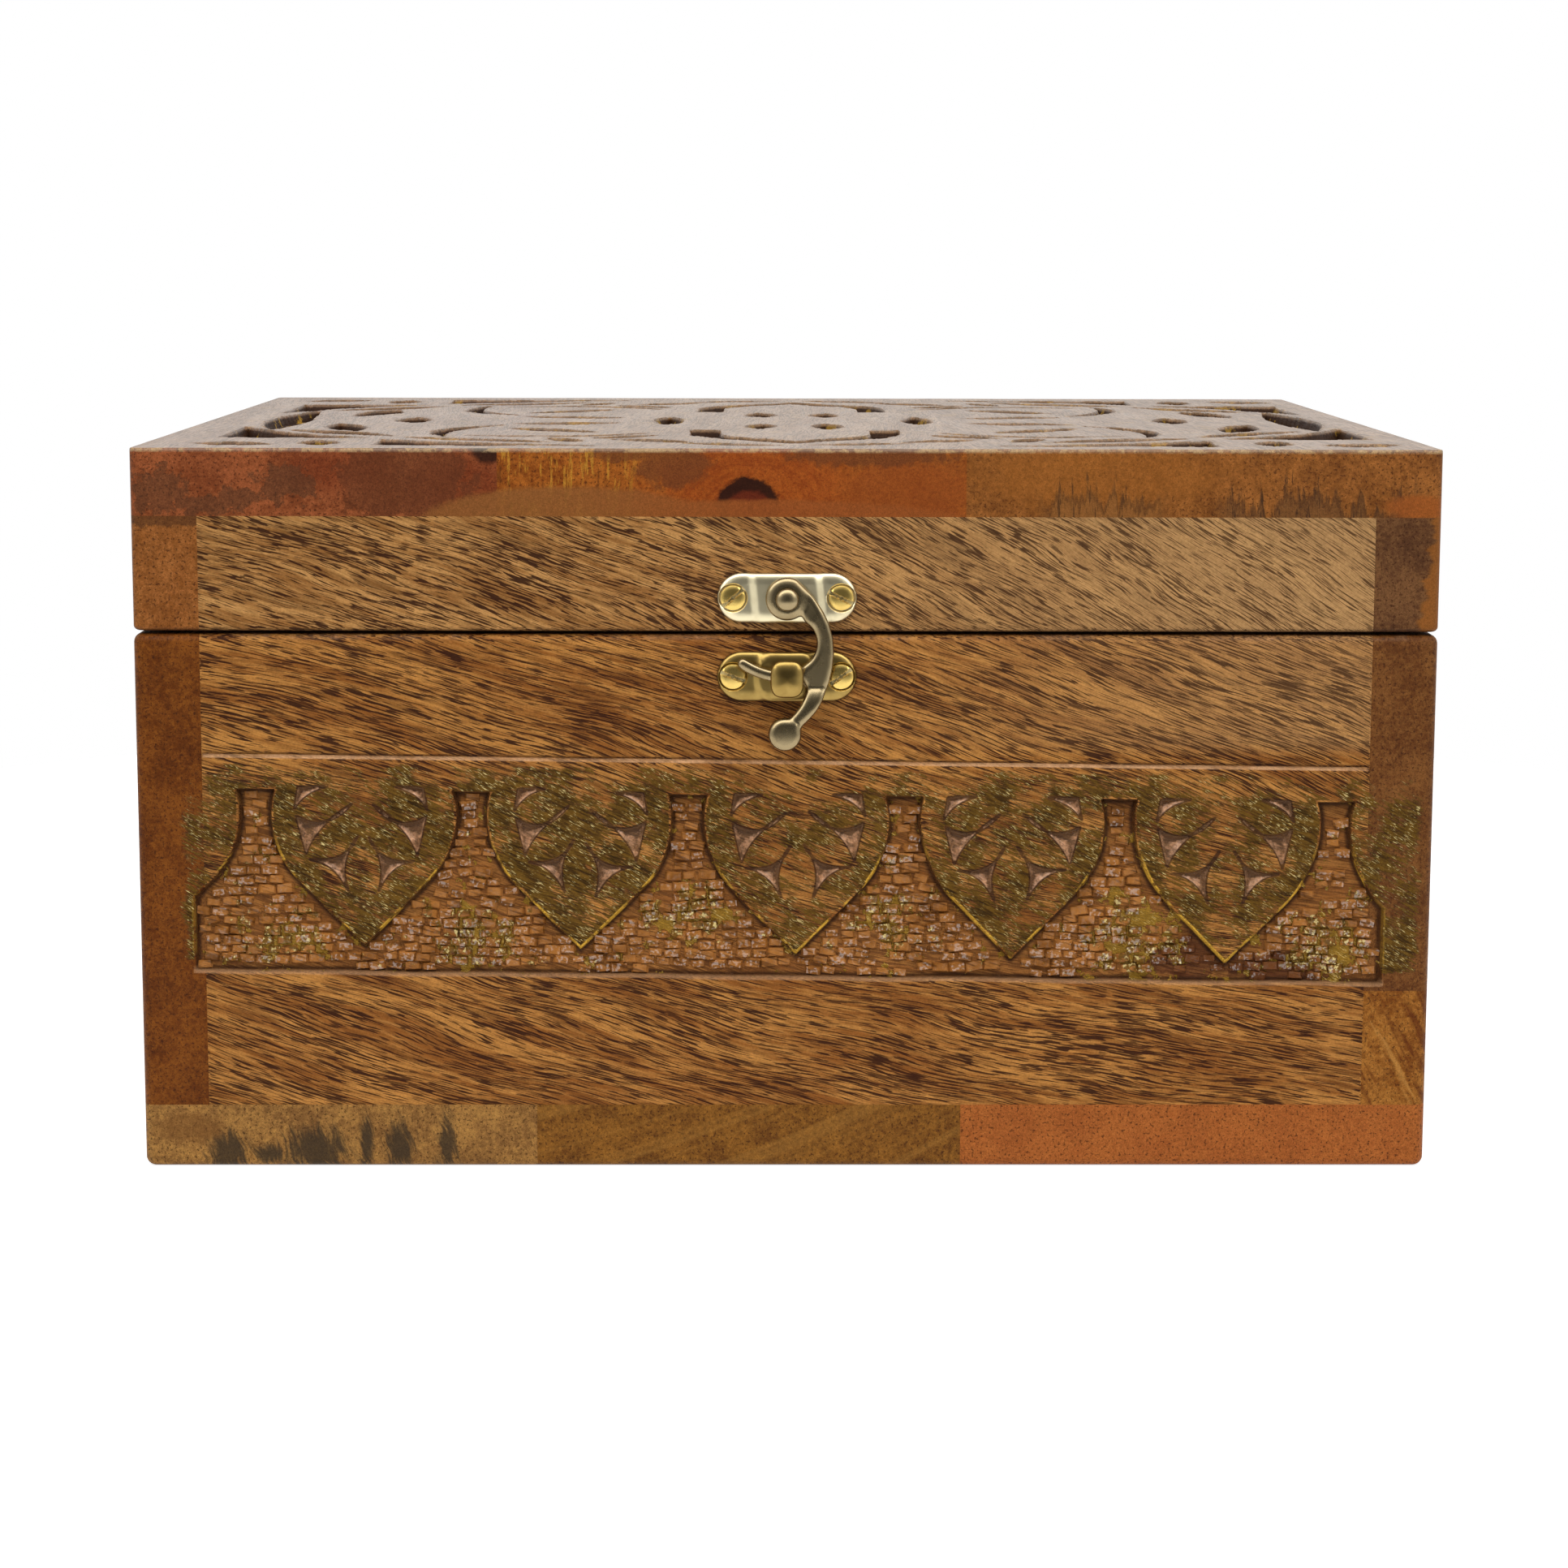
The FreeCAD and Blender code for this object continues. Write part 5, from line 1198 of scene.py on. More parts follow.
def hook_outline():
    """The hook's outline from its pivot: eye, bowed arm, prong, tail and round end."""
    def swept(radius, *span_and_step):
        """An arc round the pivot by degrees from straight down."""
        return [(radius * math.sin(a), -radius * math.cos(a)) for a in np.radians(np.arange(*span_and_step))]

    eye = arc(EYE_RADIUS, np.radians(np.arange(62, 312, 8)))
    inner = arc(4.9, np.radians(np.arange(58, -70, -8)), 0.9, -8.6)
    upper = swept(14.15, 10, -35, -3)
    tip_place = (PRONG_REACH * math.sin(-0.60), -PRONG_REACH * math.cos(0.60))
    tip = arc(PRONG_HALF, np.radians((78, 110, 150, 190, 225)), *tip_place)
    lower = swept(16.3, -32, 11, 3)
    tail_in = [(3.7, -17.5), (3.4, -18.9), (2.7, -20.5), (1.7, -21.9), (0.8, -22.9)]
    ball = arc(BALL_RADIUS, np.radians(np.arange(78, 384, 9)), *BALL_PLACE)
    outer = [(2.9, -24.6), (4.2, -23.4), (5.7, -21.7), (6.8, -19.8), (7.5, -17.9), (8.2, -16.3), (8.8, -13.6),
             (9.1, -10.6), (8.9, -7.6), (8.2, -4.9), (7.0, -2.4), (5.4, 0.0), (3.8, 1.9)]
    loop = eye + inner + upper + tip + lower + tail_in + ball + outer
    return [(x, z + PIVOT_Z) for x, z in smooth_loop(loop, 0.35)]


def smooth_loop(loop, step):
    """Even points along a closed outline, with its smallest kinks eased."""
    loop = np.asarray(loop, float)
    closed = np.vstack([loop, loop[:1]])
    gaps = np.hypot(*np.diff(closed, axis=0).T)
    along = np.concatenate([[0], np.cumsum(gaps)])
    places = np.linspace(0, along[-1], int(along[-1] / step) + 1)[:-1]
    even = np.stack([np.interp(places, along, closed[:, i]) for i in (0, 1)], 1)
    for _ in range(2):
        even = (np.roll(even, 1, 0) + 2 * even + np.roll(even, -1, 0)) / 4
    return even


def repeat_group(name, build, inputs):
    """A Geometry Nodes group that repeats a small shape on points, and the values of its sockets."""
    group = bpy.data.node_groups.new(name, "GeometryNodeTree")
    group.interface.new_socket("Geometry", in_out="INPUT", socket_type="NodeSocketGeometry")
    group.interface.new_socket("Geometry", in_out="OUTPUT", socket_type="NodeSocketGeometry")
    values = {}
    for label, (kind, value) in inputs.items():
        socket = group.interface.new_socket(label, in_out="INPUT", socket_type=kind)
        values[socket.identifier] = value

    def add(kind, settings=None, inputs=None):
        """A node with its settings made and its sockets filled or linked; gives its outputs."""
        node = group.nodes.new(kind)
        for key, setting in (settings or {}).items():
            setattr(node, key, setting)
        for key, item in (inputs or {}).items():
            if isinstance(item, bpy.types.NodeSocket):
                group.links.new(item, node.inputs[key])
            else:
                node.inputs[key].default_value = item
        return node.outputs

    given = add("NodeGroupInput")
    unit, size = build(add, given)
    turn = add("GeometryNodeInputNamedAttribute", {"data_type": "FLOAT_VECTOR"}, {"Name": "turn"})
    turn = add("FunctionNodeEulerToRotation", inputs={"Euler": turn["Attribute"]})
    placed = {"Points": given["Geometry"], "Instance": unit, "Rotation": turn["Rotation"], "Scale": size}
    placed = add("GeometryNodeInstanceOnPoints", inputs=placed)
    real = add("GeometryNodeRealizeInstances", inputs={"Geometry": placed["Instances"]})
    dressed = {"Geometry": real["Geometry"], "Material": given["Material"]}
    dressed = add("GeometryNodeSetMaterial", inputs=dressed)
    add("NodeGroupOutput", inputs={"Geometry": dressed["Geometry"]})
    return group, values


def scatter(name, points, turns, material, build, inputs):
    """Repeats a small shape on points through Geometry Nodes and gives one plain mesh."""
    mesh = bpy.data.meshes.new(name)
    mesh.from_pydata((np.asarray(points) * MM).tolist(), [], [])
    flat = np.asarray(turns, np.float32).ravel()
    mesh.attributes.new("turn", "FLOAT_VECTOR", "POINT").data.foreach_set("vector", flat)
    piece = bpy.data.objects.new(name, mesh)
    bpy.context.scene.collection.objects.link(piece)
    group, values = repeat_group(name, build, {**inputs, "Material": ("NodeSocketMaterial", material)})
    modifier = piece.modifiers.new(name, "NODES")
    modifier.node_group = group
    for identifier, value in values.items():
        modifier[identifier] = value
    graph = bpy.context.evaluated_depsgraph_get()
    plain = bpy.data.meshes.new_from_object(piece.evaluated_get(graph))
    piece.modifiers.clear()
    piece.data = plain
    return piece


# How a shape that stands on a level table turns to stand on each face of the body.
FACING = {"front": Quaternion((1, 0, 0), math.radians(90)), "left": Quaternion((0, 1, 0), math.radians(-90)),
          "right": Quaternion((0, 1, 0), math.radians(90))}


def mark_places(band, facing, seed):
    """Where the punched bricks lie on one face's ground, and how each is turned."""
    mm = band.mm
    turns = random.Random(seed)
    along, up = mm["mark_length"] * 1.02, mm["mark_width"] * 1.03
    places, spins = [], []
    for row in range(int((mm["band_upper"] - mm["band_lower"]) / up)):
        u = band.ends[0] + 1.6 + (row % 2) * along / 2
        while u < band.ends[1] - 1.1:
            z = mm["band_lower"] + 1.1 + row * up + turns.gauss(0, 0.07) + 0.5 * math.sin(u / 7.0 + row * 0.3)
            at = u + turns.gauss(0, 0.15)
            u += along * turns.uniform(0.9, 1.12)
            z -= band.tilt * at
            worn_away = turns.random() < np.interp(at, (-100, 120), (0.03, 0.13))
            if worn_away or band.ground(np.array([at]), np.array([z]))[0] < mm["wall_run"] + 0.65:
                continue
            depth = mm["carving_depth"] + turns.uniform(0.0, 0.22)
            where = {"front": (at, FACE + depth, z), "left": (depth - HALF_WIDTH, at, z),
                     "right": (HALF_WIDTH - depth, at, z)}[facing]
            spin = Quaternion((0, 0, 1), turns.gauss(0, 0.10) + (0 if facing == "front" else math.pi / 2))
            lean = Quaternion((1, 0, 0), turns.gauss(0, 0.12)) @ Quaternion((0, 1, 0), turns.gauss(0, 0.07))
            places.append(where)
            spins.append(tuple((FACING[facing] @ spin @ lean).to_euler()))
    return places, spins


class JEWELRY_OT_plain_boards(bpy.types.Operator):
    """Stain the plain boards: the base, the back, the lower right stave and the lid's rim"""

    bl_idname = "jewelry.plain_boards"
    bl_label = "Plain boards"

    def execute(self, context):
        colours = context.scene.jewelry_colours
        boards = {
            "base_board_left": ("base_left_wood", self.stain_base_left),
            "base_board_middle": ("base_middle_wood", self.stain_base_middle),
            "base_board_right": ("base_right_wood", None),
            "back_board": ("back_wood", None),
            "right_side_lower_board": ("right_lower_wood", self.stain_right_lower),
            "lid_front_rail": ("lid_front_rail_wood", self.stain_front_rail),
            "lid_back_rail": ("lid_back_rail_wood", None),
            "lid_left_rail": ("lid_left_rail_wood", self.stain_left_rail),
            "lid_right_rail": ("lid_right_rail_wood", self.stain_right_rail),
        }
        for node, (slot, stain) in boards.items():
            wood = Wood(slot, colours)
            if stain:
                stain(wood)
            if "rail" in node:
                # Painted shadow of the gap under the lid, along the rails' lower edge.
                gap_shadow = wood.tree.step(wood.tree.z, RIM + LID_GAP + 0.6, RIM + LID_GAP + 0.1)
                wood.lay(gap_shadow * 0.6, "#24130a")
            paint(node, wood.finish())
        return {"FINISHED"}

    def stain_base_left(self, wood):
        """Smoky smudges along the lower edge, drawn out into strokes."""
        tree = wood.tree
        spots = [(-110.5, 2.6, 4.6, 5.4), (-102, 2.8, 3.6, 2.6), (-93, 3.6, 7.2, 5.8), (-83, 5, 1.4, 7),
                 (-76.4, 4, 3.2, 6.4), (-67, 5, 2.4, 6.6)]
        lean = tree.x + tree.z * 0.35 + (tree.cloud(9.0) - 0.5) * 6.0
        strokes = tree.noise(lean / 0.7, tree.y / 60, tree.z / 6, 5.0, 0.7)
        mask = tree.step(tree.inside(spots) + (strokes - 0.5) * 2.4, -0.15, 0.6)
        wood.lay(mask * 0.9, "#372c1e")
        wood.patch([(-118, 8, 6, 3)], "#6a431d", strength=0.6, ragged=0.6, soft=0.4, size=4.0)

    def stain_base_middle(self, wood):
        """Wide growth rings that show as golden arcs."""
        tree = wood.tree
        rings = ((tree.x + 12) ** 2.0 * 0.10 + (tree.z - 34) ** 2.0) ** 0.5 / 3.4
        golden = tree.noise(rings + tree.x / 9, tree.y / 90, 4.2, 3.0, 0.6)
        wood.lay(tree.step(golden, 0.48, 0.66) * 0.5, "#93672c")

    def stain_right_lower(self, wood):
        """A dark slanting streak and bright figure."""
        tree = wood.tree
        lean = tree.x + (tree.z - 24) * 0.55
        streak = tree.noise(lean / 2.2, tree.y / 60, tree.z / 16, 2.0)
        wood.lay(tree.step(streak, 0.55, 0.68) * 0.8, "#5d2c08")
        wood.lay(tree.step(streak, 0.42, 0.30) * 0.6, "#b8833f")

    def stain_front_rail(self, wood):
        """The rail grows paler and yellower to the right."""
        tree = wood.tree
        tan = tree.blend(wood.dash * 0.85, "#b0895a", "#4a2e18")
        wood.lay(tree.step(tree.x, -40, 110) * 0.75, tan)

    def stain_left_rail(self, wood):
        """A dark band with a ragged lower edge along the top of the end grain."""
        tree = wood.tree
        ragged = tree.z + (tree.noise(tree.x / 2.2, tree.y / 30, 1.0, 4.0, 0.7) - 0.5) * 4.0
        wood.lay(tree.step(ragged, ROOF - 2.2, ROOF - 1.7) * 0.7, "#4f3019")

    def stain_right_rail(self, wood):
        """The outer edge keeps its orange colour."""
        tree = wood.tree
        ragged = tree.x + (tree.noise(tree.z / 2.4, tree.y / 40, 1.0, 4.0) - 0.5) * 7.0
        ragged = ragged - (tree.z - 114.5) * 0.1
        wood.lay(tree.step(ragged, 123.2, 124.4) * 0.85, "#8c5522")


class JEWELRY_OT_carved_front(bpy.types.Operator):
    """Carve the front board with its band of shields"""

    bl_idname = "jewelry.carved_front"
    bl_label = "Carved front"

    def execute(self, context):
        scene = context.scene
        settle(carve_front(scene.jewelry_sizes, scene.jewelry_colours), "box", "front_wood", "front_board")
        return {"FINISHED"}


class JEWELRY_OT_carved_sides(bpy.types.Operator):
    """Carve both side boards"""

    bl_idname = "jewelry.carved_sides"
    bl_label = "Carved sides"

    def execute(self, context):
        scene = context.scene
        for node, side, slot in (("left_side_board", -1, "left_side_wood"),
                                 ("right_side_upper_board", 1, "right_upper_wood")):
            piece = carve_side(scene.jewelry_sizes, scene.jewelry_colours, node, side, slot)
            settle(piece, "box", slot, node)
        return {"FINISHED"}


class JEWELRY_OT_carved_top(bpy.types.Operator):
    """Carve the three staves of the lid's top"""

    bl_idname = "jewelry.carved_top"
    bl_label = "Carved top"

    def execute(self, context):
        scene = context.scene
        stains = {"left": stain_lid_left, "middle": stain_lid_middle, "right": stain_lid_right}
        for side, stain in stains.items():
            node, slot = f"lid_board_{side}", f"lid_{side}_wood"
            piece = carve_top(scene.jewelry_sizes, scene.jewelry_colours, node, slot, stain)
            settle(piece, "lid", slot, node)
        return {"FINISHED"}


class JEWELRY_OT_punched_ground(bpy.types.Operator):
    """Punch the sunk ground between the shields"""

    bl_idname = "jewelry.punched_ground"
    bl_label = "Punched ground"

    def execute(self, context):
        sizes = context.scene.jewelry_sizes
        material = self.punched_wood(context.scene.jewelry_colours)
        faces = {
            "front": (front_band(sizes), "front_wood"),
            "left": (side_band(sizes, -1), "left_side_wood"),
            "right": (side_band(sizes, 1), "right_upper_wood"),
        }
        inputs = {
            "Mark Length": ("NodeSocketFloat", sizes.mark_length),
            "Mark Width": ("NodeSocketFloat", sizes.mark_width),
            "Mark Height": ("NodeSocketFloat", sizes.mark_height * 2),
            "Seed": ("NodeSocketInt", 4),
        }
        for facing, (band, slot) in faces.items():
            places, turns = mark_places(band, facing, 5 + len(facing))
            piece = scatter(f"{facing}_ground_marks", places, turns, material, self.brick, inputs)
            settle(piece, "box", slot)
        return {"FINISHED"}

    def brick(self, add, given):
        """A flat brick with leaning sides, a little larger or smaller each time."""
        block = {"Vertices": 4, "Side Segments": 1, "Fill Segments": 1, "Radius Top": 0.53,
                 "Radius Bottom": math.sqrt(0.5), "Depth": 1.0}
        block = add("GeometryNodeMeshCone", inputs=block)
        square = {"Geometry": block["Mesh"], "Rotation": (0, 0, math.radians(45)),
                  "Translation": (0, 0, -0.2)}
        square = add("GeometryNodeTransform", inputs=square)
        size = {"X": given["Mark Length"], "Y": given["Mark Width"], "Z": given["Mark Height"]}
        size = add("ShaderNodeCombineXYZ", inputs=size)
        chance = {2: 0.80, 3: 1.16, "Seed": given["Seed"]}
        chance = add("FunctionNodeRandomValue", {"data_type": "FLOAT"}, chance)
        scaled = {"Vector": size["Vector"], "Scale": chance[1]}
        scaled = add("ShaderNodeVectorMath", {"operation": "SCALE"}, scaled)
        return square["Geometry"], scaled["Vector"]

    def punched_wood(self, colours):
        """Glossy brown wood with gold paint in places."""
        tree = Tree("punched_wood")
        tone = tree.step(tree.cloud(5.0, 3.0, 0.6), 0.35, 0.65)
        lighter = tree.step(tree.cloud(2.2, 2.0, 0.6, shift=9), 0.35, 0.65)
        colour = tree.blend(tone, "#a1682f", "#7a4a1b")
        colour = tree.blend(lighter * 0.4, colour, "#b07a46")
        colour = tree.blend(lacquer_pool(tree), colour, LACQUER)
        lines = tree.noise(tree.x / 6.0, tree.y / 6.0, (tree.z + tree.x * 0.3 + tree.y * 0.3) / 0.5, 2.0)
        colour = tree.blend(tree.step(lines, 0.52, 0.64) * 0.6, colour, colours.pore)
        gilt = gold_net(tree) * tree.step(tree.cloud(1.3, 2.0, shift=9), 0.37, 0.50)
        # Painted glints on the flakes of the gold in the grooves.
        flakes = tree.step(tree.cloud(0.7, 2.0, shift=3), 0.54, 0.64)
        colour = tree.blend(gilt * 0.8, colour, tree.blend(flakes, colours.gilding, colours.glint))
        height = tree.cloud(0.8, 3.0) + lines * 0.5
        gloss = tree.step(tree.cloud(0.6, 2.0, shift=40), 0.52, 0.59)
        return tree.finish(colour, roughness=0.42, height=height, bump=1.0, metallic=gilt * 0.5,
                           coat=gloss * 0.8, specular=WOOD_SHINE, lacquer=2.1)


class JEWELRY_OT_latch(bpy.types.Operator):
    """Cast the latch: its two plates, the rivet, the catch post and the swing hook"""

    bl_idname = "jewelry.latch"
    bl_label = "Latch"

    def execute(self, context):
        colours = context.scene.jewelry_colours
        pale = brass("pale_brass", colours.plate_brass, rough=0.34, worn=0.30)
        yellow = brass("yellow_brass", colours.catch_brass, rough=0.32, worn=0.45)
        antique = brass("antique_brass", colours.hook_brass, rough=0.27, worn=0.4)
        knob = brass("knob_brass", colours.catch_brass, rough=0.25, worn=0.45)

        def upper(u, v):
            """The raised middle of the hook's plate, and the seats of its screws."""
            v = v - PIVOT_Z
            left = rise(u + v * 0.10, -7.4, -5.4)
            right = rise(u + v * 0.12, 7.6, 5.6)
            return left * right * 0.8 + seats(u, v)

        def lower(u, v):
            """The round boss of the catch's plate, and the seats of its screws."""
            v = v - CATCH_Z
            boss = rise(np.hypot(u, v * 0.9), 6.7, 5.2)
            return boss * 0.75 + seats(u, v)

        for name, body, height, material, lift in (("hook_plate", "lid", PIVOT_Z, pale, upper),
                                                   ("catch_plate", "box", CATCH_Z, yellow, lower)):
            outline = [(x, z + height) for x, z in stadium(*PLATE_HALF)]
            rings = [(x, height, radius) for x in SCREW_PLACES for radius in SEAT_RADII]
            plate = pillow(f"{name}_cast", [outline], back=0.0, front=1.0, ease=2.0, fall=0.8, step=0.3,
                           material=material, lift=lift, rings=rings)
            settle(plate, body, f"{name}_brass", name)
        self.hook(antique)
        self.catch(knob)
        return {"FINISHED"}

    def hook(self, material):
        """The rivet's domed head, and the hook on it."""
        half, under, dome = 2.25, 3.85, 1.15
        rings = [(0.05, 0.2), (1.5, 0.2), (1.5, 3.62), (2.2, 3.62), (half, under)]
        angles = np.radians((15, 30, 45, 60, 74, 86))
        rings += [(half * math.cos(a), under + dome * math.sin(a)) for a in angles]
        rings = [(radius, radius, height) for radius, height in rings]
        rivet = turned("hook_rivet_domed", rings, (0, PIVOT_Z), sides=40, square=2.0, material=material)
        settle(rivet, "lid", "hook_brass", "hook_rivet")
        bore = [(x, z + PIVOT_Z) for x, z in disc(BORE_RADIUS, 28)]

        def bend(u, v):
            """The tail that stands off, its domed end, and the eye that sinks towards its rim."""
            v = v - PIVOT_Z
            away = np.hypot(u, v)
            tail = np.clip(-TAIL_FROM - v, 0, 20)
            ball = np.clip(np.hypot(u - BALL_PLACE[0], v - BALL_PLACE[1]) / BALL_RADIUS, 0, 1)
            eye = np.clip(away / EYE_RADIUS, 0, 1) ** 2 * rise(away, 7.0, 3.0)
            return 1.5 * (1 - np.exp(-tail / 2.0)) + 0.5 * np.sqrt(1 - ball ** 2) * (tail > 0) - 0.6 * eye

        hook = pillow("swing_hook_cast", [hook_outline(), bore], back=1.95, front=3.55, ease=1.2, fall=0.7,
                      step=0.28, material=material, lift=bend)
        settle(hook, "hook", "hook_brass", "swing_hook")

    def catch(self, material):
        """The knob, and the two halves of its stem on either side of the prong's way."""
        rings = [(0.05, 0.05, 3.7), (2.7, 3.1, 3.7), (3.1, 3.5, 3.85), (3.2, 3.6, 4.2), (3.2, 3.6, 4.5),
                 (3.1, 3.48, 4.78), (2.85, 3.2, 5.0), (2.45, 2.75, 5.22), (1.95, 2.2, 5.42), (1.4, 1.6, 5.57),
                 (0.8, 0.9, 5.66), (0.4, 0.45, 5.69), (0.05, 0.05, 5.7)]
        knob = turned("catch_knob", rings, (0, CATCH_Z), sides=44, square=3.2, material=material)
        settle(knob, "box", "catch_plate_brass", "catch_post")
        start = math.degrees(math.asin(STEM_SLOT_HALF / STEM_RADIUS))
        for name, turn in (("upper", 0), ("lower", 180)):
            angles = np.radians(np.linspace(start, 180 - start, 20) + turn)
            loop = arc(STEM_RADIUS, angles, 0.0, CATCH_Z)
            half = pillow(f"catch_stem_{name}", [loop], back=0.3, front=3.74, ease=0.05, fall=0.05, step=0.7,
                          material=material)
            settle(half, "box", "catch_plate_brass")


class JEWELRY_OT_screws(bpy.types.Operator):
    """Drive the slotted screws of the latch plates"""

    bl_idname = "jewelry.screws"
    bl_label = "Slotted screws"

    def execute(self, context):
        colour = context.scene.jewelry_colours.screw_brass
        material = brass("screw_brass", colour, rough=0.28, worn=0.4, slot="#dcc68a")
        head = self.head()
        inputs = {"Head": ("NodeSocketObject", head), "Head Size": ("NodeSocketFloat", 1.0)}
        for name, body, height, turns in (("hook_plate_screws", "lid", PIVOT_Z, (40, -25)),
                                          ("catch_plate_screws", "box", CATCH_Z, (-20, 35))):
            places = [(x, FACE - 1.0, height) for x in SCREW_PLACES]
            spins = [FACING["front"] @ Quaternion((0, 0, 1), math.radians(turn)) for turn in turns]
            spins = [tuple(spin.to_euler()) for spin in spins]
            piece = scatter(f"{name}_driven", places, spins, material, self.driven, inputs)
            settle(piece, body, "screw_brass", name)
        bpy.data.objects.remove(head)
        return {"FINISHED"}

    def driven(self, add, given):
        """The head as it is, at its size."""
        info = add("GeometryNodeObjectInfo", inputs={"Object": given["Head"]})
        return info["Geometry"], given["Head Size"]

    def head(self):
        """One screw: a low oval head with its slot, and a plain shank."""
        half, slot, flat_part, sides = 2.5, 0.46, 0.14, 40
        dome, slot_floor, shank_end = 0.30, -0.42, -1.3
        ring = np.array(disc(half, sides))
        points = [tuple(p) for radius in (1, 0.95, 0.8, 0.6, 0.38, 0.15) for p in ring * radius]
        edges = [(i, (i + 1) % sides) for i in range(sides)]
        for offset in (-slot, -flat_part, flat_part, slot):
            reach = math.sqrt(half ** 2 - offset ** 2) * 0.999
            start = len(points)
            points += [(t * reach, offset) for t in np.linspace(-1, 1, 13)]
            edges += [(start + i, start + i + 1) for i in range(12)]
        flat, triangles = triangulated(points, edges)
        triangles = triangles.tolist()
        away = np.hypot(*flat.T)
        top = dome * (1 - (away / half) ** 2) - dome * rise(away, half - 0.2, half) - 0.05
        cut = np.abs(flat[:, 1]) < slot - 0.02
        height = np.where(cut, slot_floor, top)
        count = len(flat)
        solid = [(u, v, h) for (u, v), h in zip(flat, height)]
        solid += [(u * 0.5, v * 0.5, shank_end) for u, v in flat]
        faces = triangles + [[a, b, count + b, count + a] for a, b in open_edges(triangles)]
        faces += [[count + i for i in reversed(t)] for t in triangles]
        layers = {"slot": [*cut, *([False] * count)]}
        return shape("screw_head", solid, faces, bpy.data.materials.new("bare"), layers, sharp=35)


class JEWELRY_OT_hinges(bpy.types.Operator):
    """Polish the back hinges"""

    bl_idname = "jewelry.hinges"
    bl_label = "Hinges"

    def execute(self, context):
        material = brass("hinge_brass", context.scene.jewelry_colours.hinge_brass, rough=0.3, worn=0.5)
        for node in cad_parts:
            if "hinge" in node:
                paint(node, material)
        return {"FINISHED"}


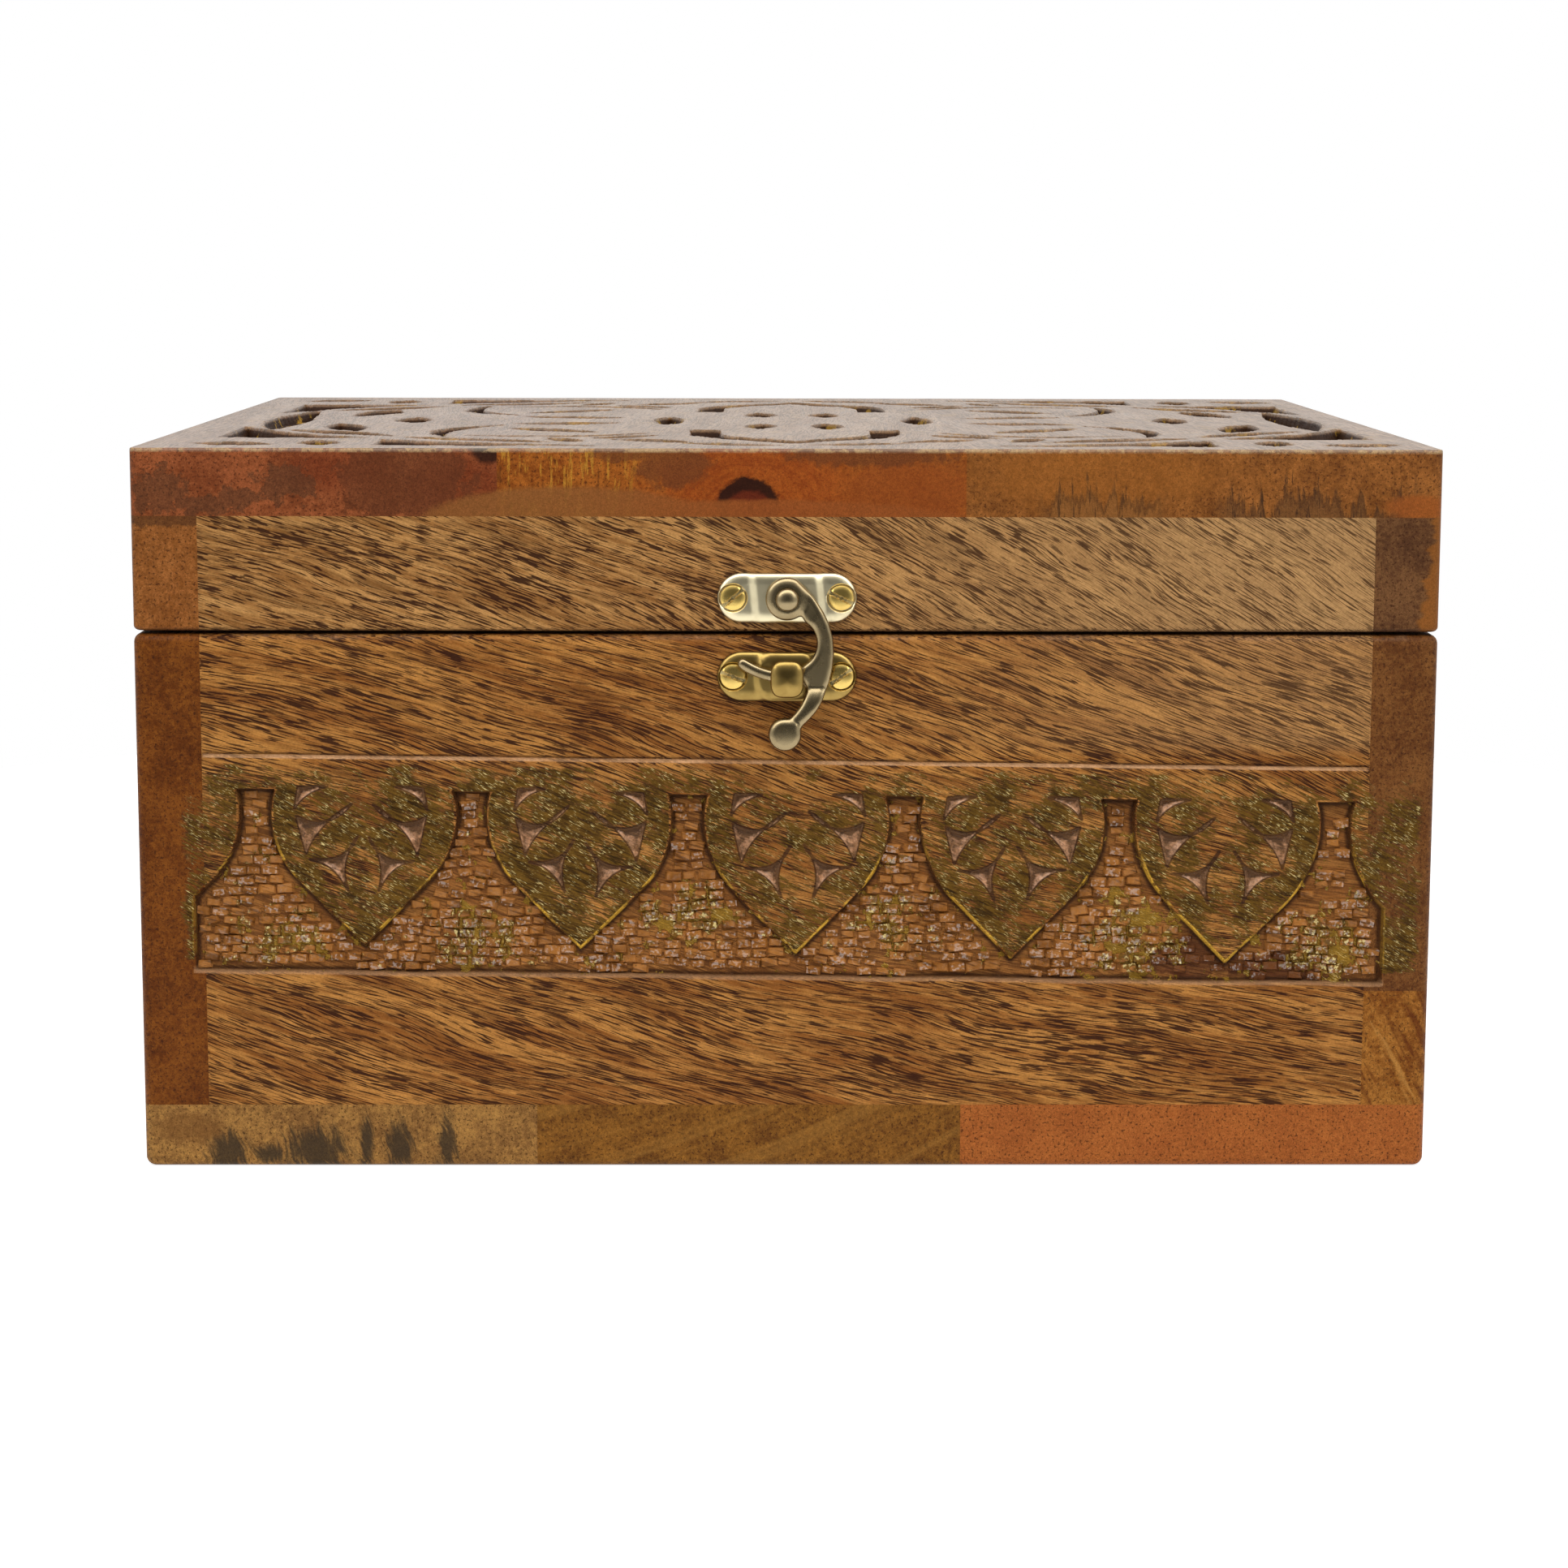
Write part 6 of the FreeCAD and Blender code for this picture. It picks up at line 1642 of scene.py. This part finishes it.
class JEWELRY_OT_studio(bpy.types.Operator):
    """Set up the white floor, the soft lights and the camera"""

    bl_idname = "jewelry.studio"
    bl_label = "Studio"

    def execute(self, context):
        scene = context.scene
        self.floor(scene)
        self.world(scene)
        self.lights(scene)
        self.camera(scene)
        scene.view_settings.view_transform = "Standard"
        return {"FINISHED"}

    def floor(self, scene):
        """A round pale floor that glows as white as the background where it is seen."""
        mesh = bpy.data.meshes.new("studio_floor")
        ring = disc(0.44, 96)
        mesh.from_pydata([(x, y, 0) for x, y in ring], [], [list(range(len(ring)))])
        floor = bpy.data.objects.new("studio_floor", mesh)
        scene.collection.objects.link(floor)
        tree = Tree("studio_floor")
        cloud = tree.cloud(160.0, 2.0)
        pale = scene.jewelry_colours.floor
        colour = tree.blend(cloud, pale, [c * 0.985 for c in pale])
        matt = tree.add("ShaderNodeBsdfDiffuse", inputs={"Color": colour})
        ray = tree.add("ShaderNodeLightPath", output="Is Camera Ray")
        seen = ray.most(ray.out("Is Glossy Ray")).most(ray.out("Is Transmission Ray"))
        glow = tree.add("ShaderNodeEmission", inputs={"Color": (1, 1, 1, 1), "Strength": seen * 0.68})
        both = tree.add("ShaderNodeAddShader", inputs={0: matt, 1: glow})
        tree.add("ShaderNodeOutputMaterial", inputs={"Surface": both})
        mesh.materials.append(tree.material)

    def world(self, scene):
        """A white background that lights softly and is dimmer where the latch mirrors the camera's side."""
        world = bpy.data.worlds.new("studio_world")
        scene.world = world
        tree = Tree("studio_world", world)
        ray = tree.add("ShaderNodeLightPath", output="Is Camera Ray")
        seen = ray.most(ray.out("Is Transmission Ray"))
        soft = 0.24
        mirrored = 0.10 + tree.step(tree.y, -0.97, -0.62) * 0.85
        strength = soft + ray.out("Is Glossy Ray") * (mirrored - soft)
        strength = strength + seen * (1 - strength)
        light = tree.add("ShaderNodeBackground", inputs={"Color": (1, 1, 1, 1), "Strength": strength})
        tree.add("ShaderNodeOutputWorld", inputs={"Surface": light})

    def lights(self, scene):
        """A wide softbox overhead and one to either side, aimed at the front."""
        aim = Vector((0, -0.03, 0.07))
        for name, place, size, power in (
            ("overhead_softbox", (0.05, -0.50, 0.95), (1.3, 0.6), 8.4),
            ("left_softbox", (-0.85, -0.60, 0.80), (0.6, 0.7), 4.1),
            ("right_softbox", (0.85, -0.65, 0.75), (0.6, 0.7), 3.6),
        ):
            lamp = bpy.data.lights.new(name, "AREA")
            lamp.shape = "RECTANGLE"
            lamp.size, lamp.size_y = size
            lamp.energy = power
            light = bpy.data.objects.new(name, lamp)
            light.location = place
            light.rotation_euler = (aim - Vector(place)).to_track_quat("-Z", "Y").to_euler()
            scene.collection.objects.link(light)

    def camera(self, scene):
        """The photograph's viewpoint: a little above the lid, level with the middle of the front."""
        lens = bpy.data.cameras.new("studio_camera")
        lens.sensor_width = 36
        lens.lens = 67.41
        lens.shift_y = -0.12
        camera = bpy.data.objects.new("studio_camera", lens)
        camera.location = (-0.0052, -0.6539, 0.1834)
        camera.rotation_euler = (math.radians(90 - 6.98), math.radians(-0.14), math.radians(-0.45))
        scene.collection.objects.link(camera)
        scene.camera = camera


STEPS = (JEWELRY_OT_plain_boards, JEWELRY_OT_carved_front, JEWELRY_OT_carved_sides, JEWELRY_OT_carved_top,
         JEWELRY_OT_punched_ground, JEWELRY_OT_latch, JEWELRY_OT_screws, JEWELRY_OT_hinges, JEWELRY_OT_studio)


class JEWELRY_PT_panel(bpy.types.Panel):
    """The steps that dress the box, with the sizes and colours that they use"""

    bl_idname = "JEWELRY_PT_panel"
    bl_label = "Jewelry box"
    bl_space_type = "VIEW_3D"
    bl_region_type = "UI"
    bl_category = "Jewelry Box"

    def draw(self, context):
        for step in STEPS:
            self.layout.operator(step.bl_idname)
        for group in (context.scene.jewelry_sizes, context.scene.jewelry_colours):
            column = self.layout.column()
            for name in group.__annotations__:
                column.prop(group, name)


CLASSES = (BoxSizes, BoxColours, *STEPS, JEWELRY_PT_panel)


def register():
    """Makes the sizes, the colours, the steps and the panel known to Blender."""
    for item in CLASSES:
        bpy.utils.register_class(item)
    bpy.types.Scene.jewelry_sizes = bpy.props.PointerProperty(type=BoxSizes)
    bpy.types.Scene.jewelry_colours = bpy.props.PointerProperty(type=BoxColours)


def unregister():
    """Takes back what register added."""
    del bpy.types.Scene.jewelry_colours
    del bpy.types.Scene.jewelry_sizes
    for item in reversed(CLASSES):
        bpy.utils.unregister_class(item)


def main():
    """Runs every step."""
    register()
    for step in STEPS:
        group, name = step.bl_idname.split(".")
        getattr(getattr(bpy.ops, group), name)()


if __name__ == "__main__":
    main()
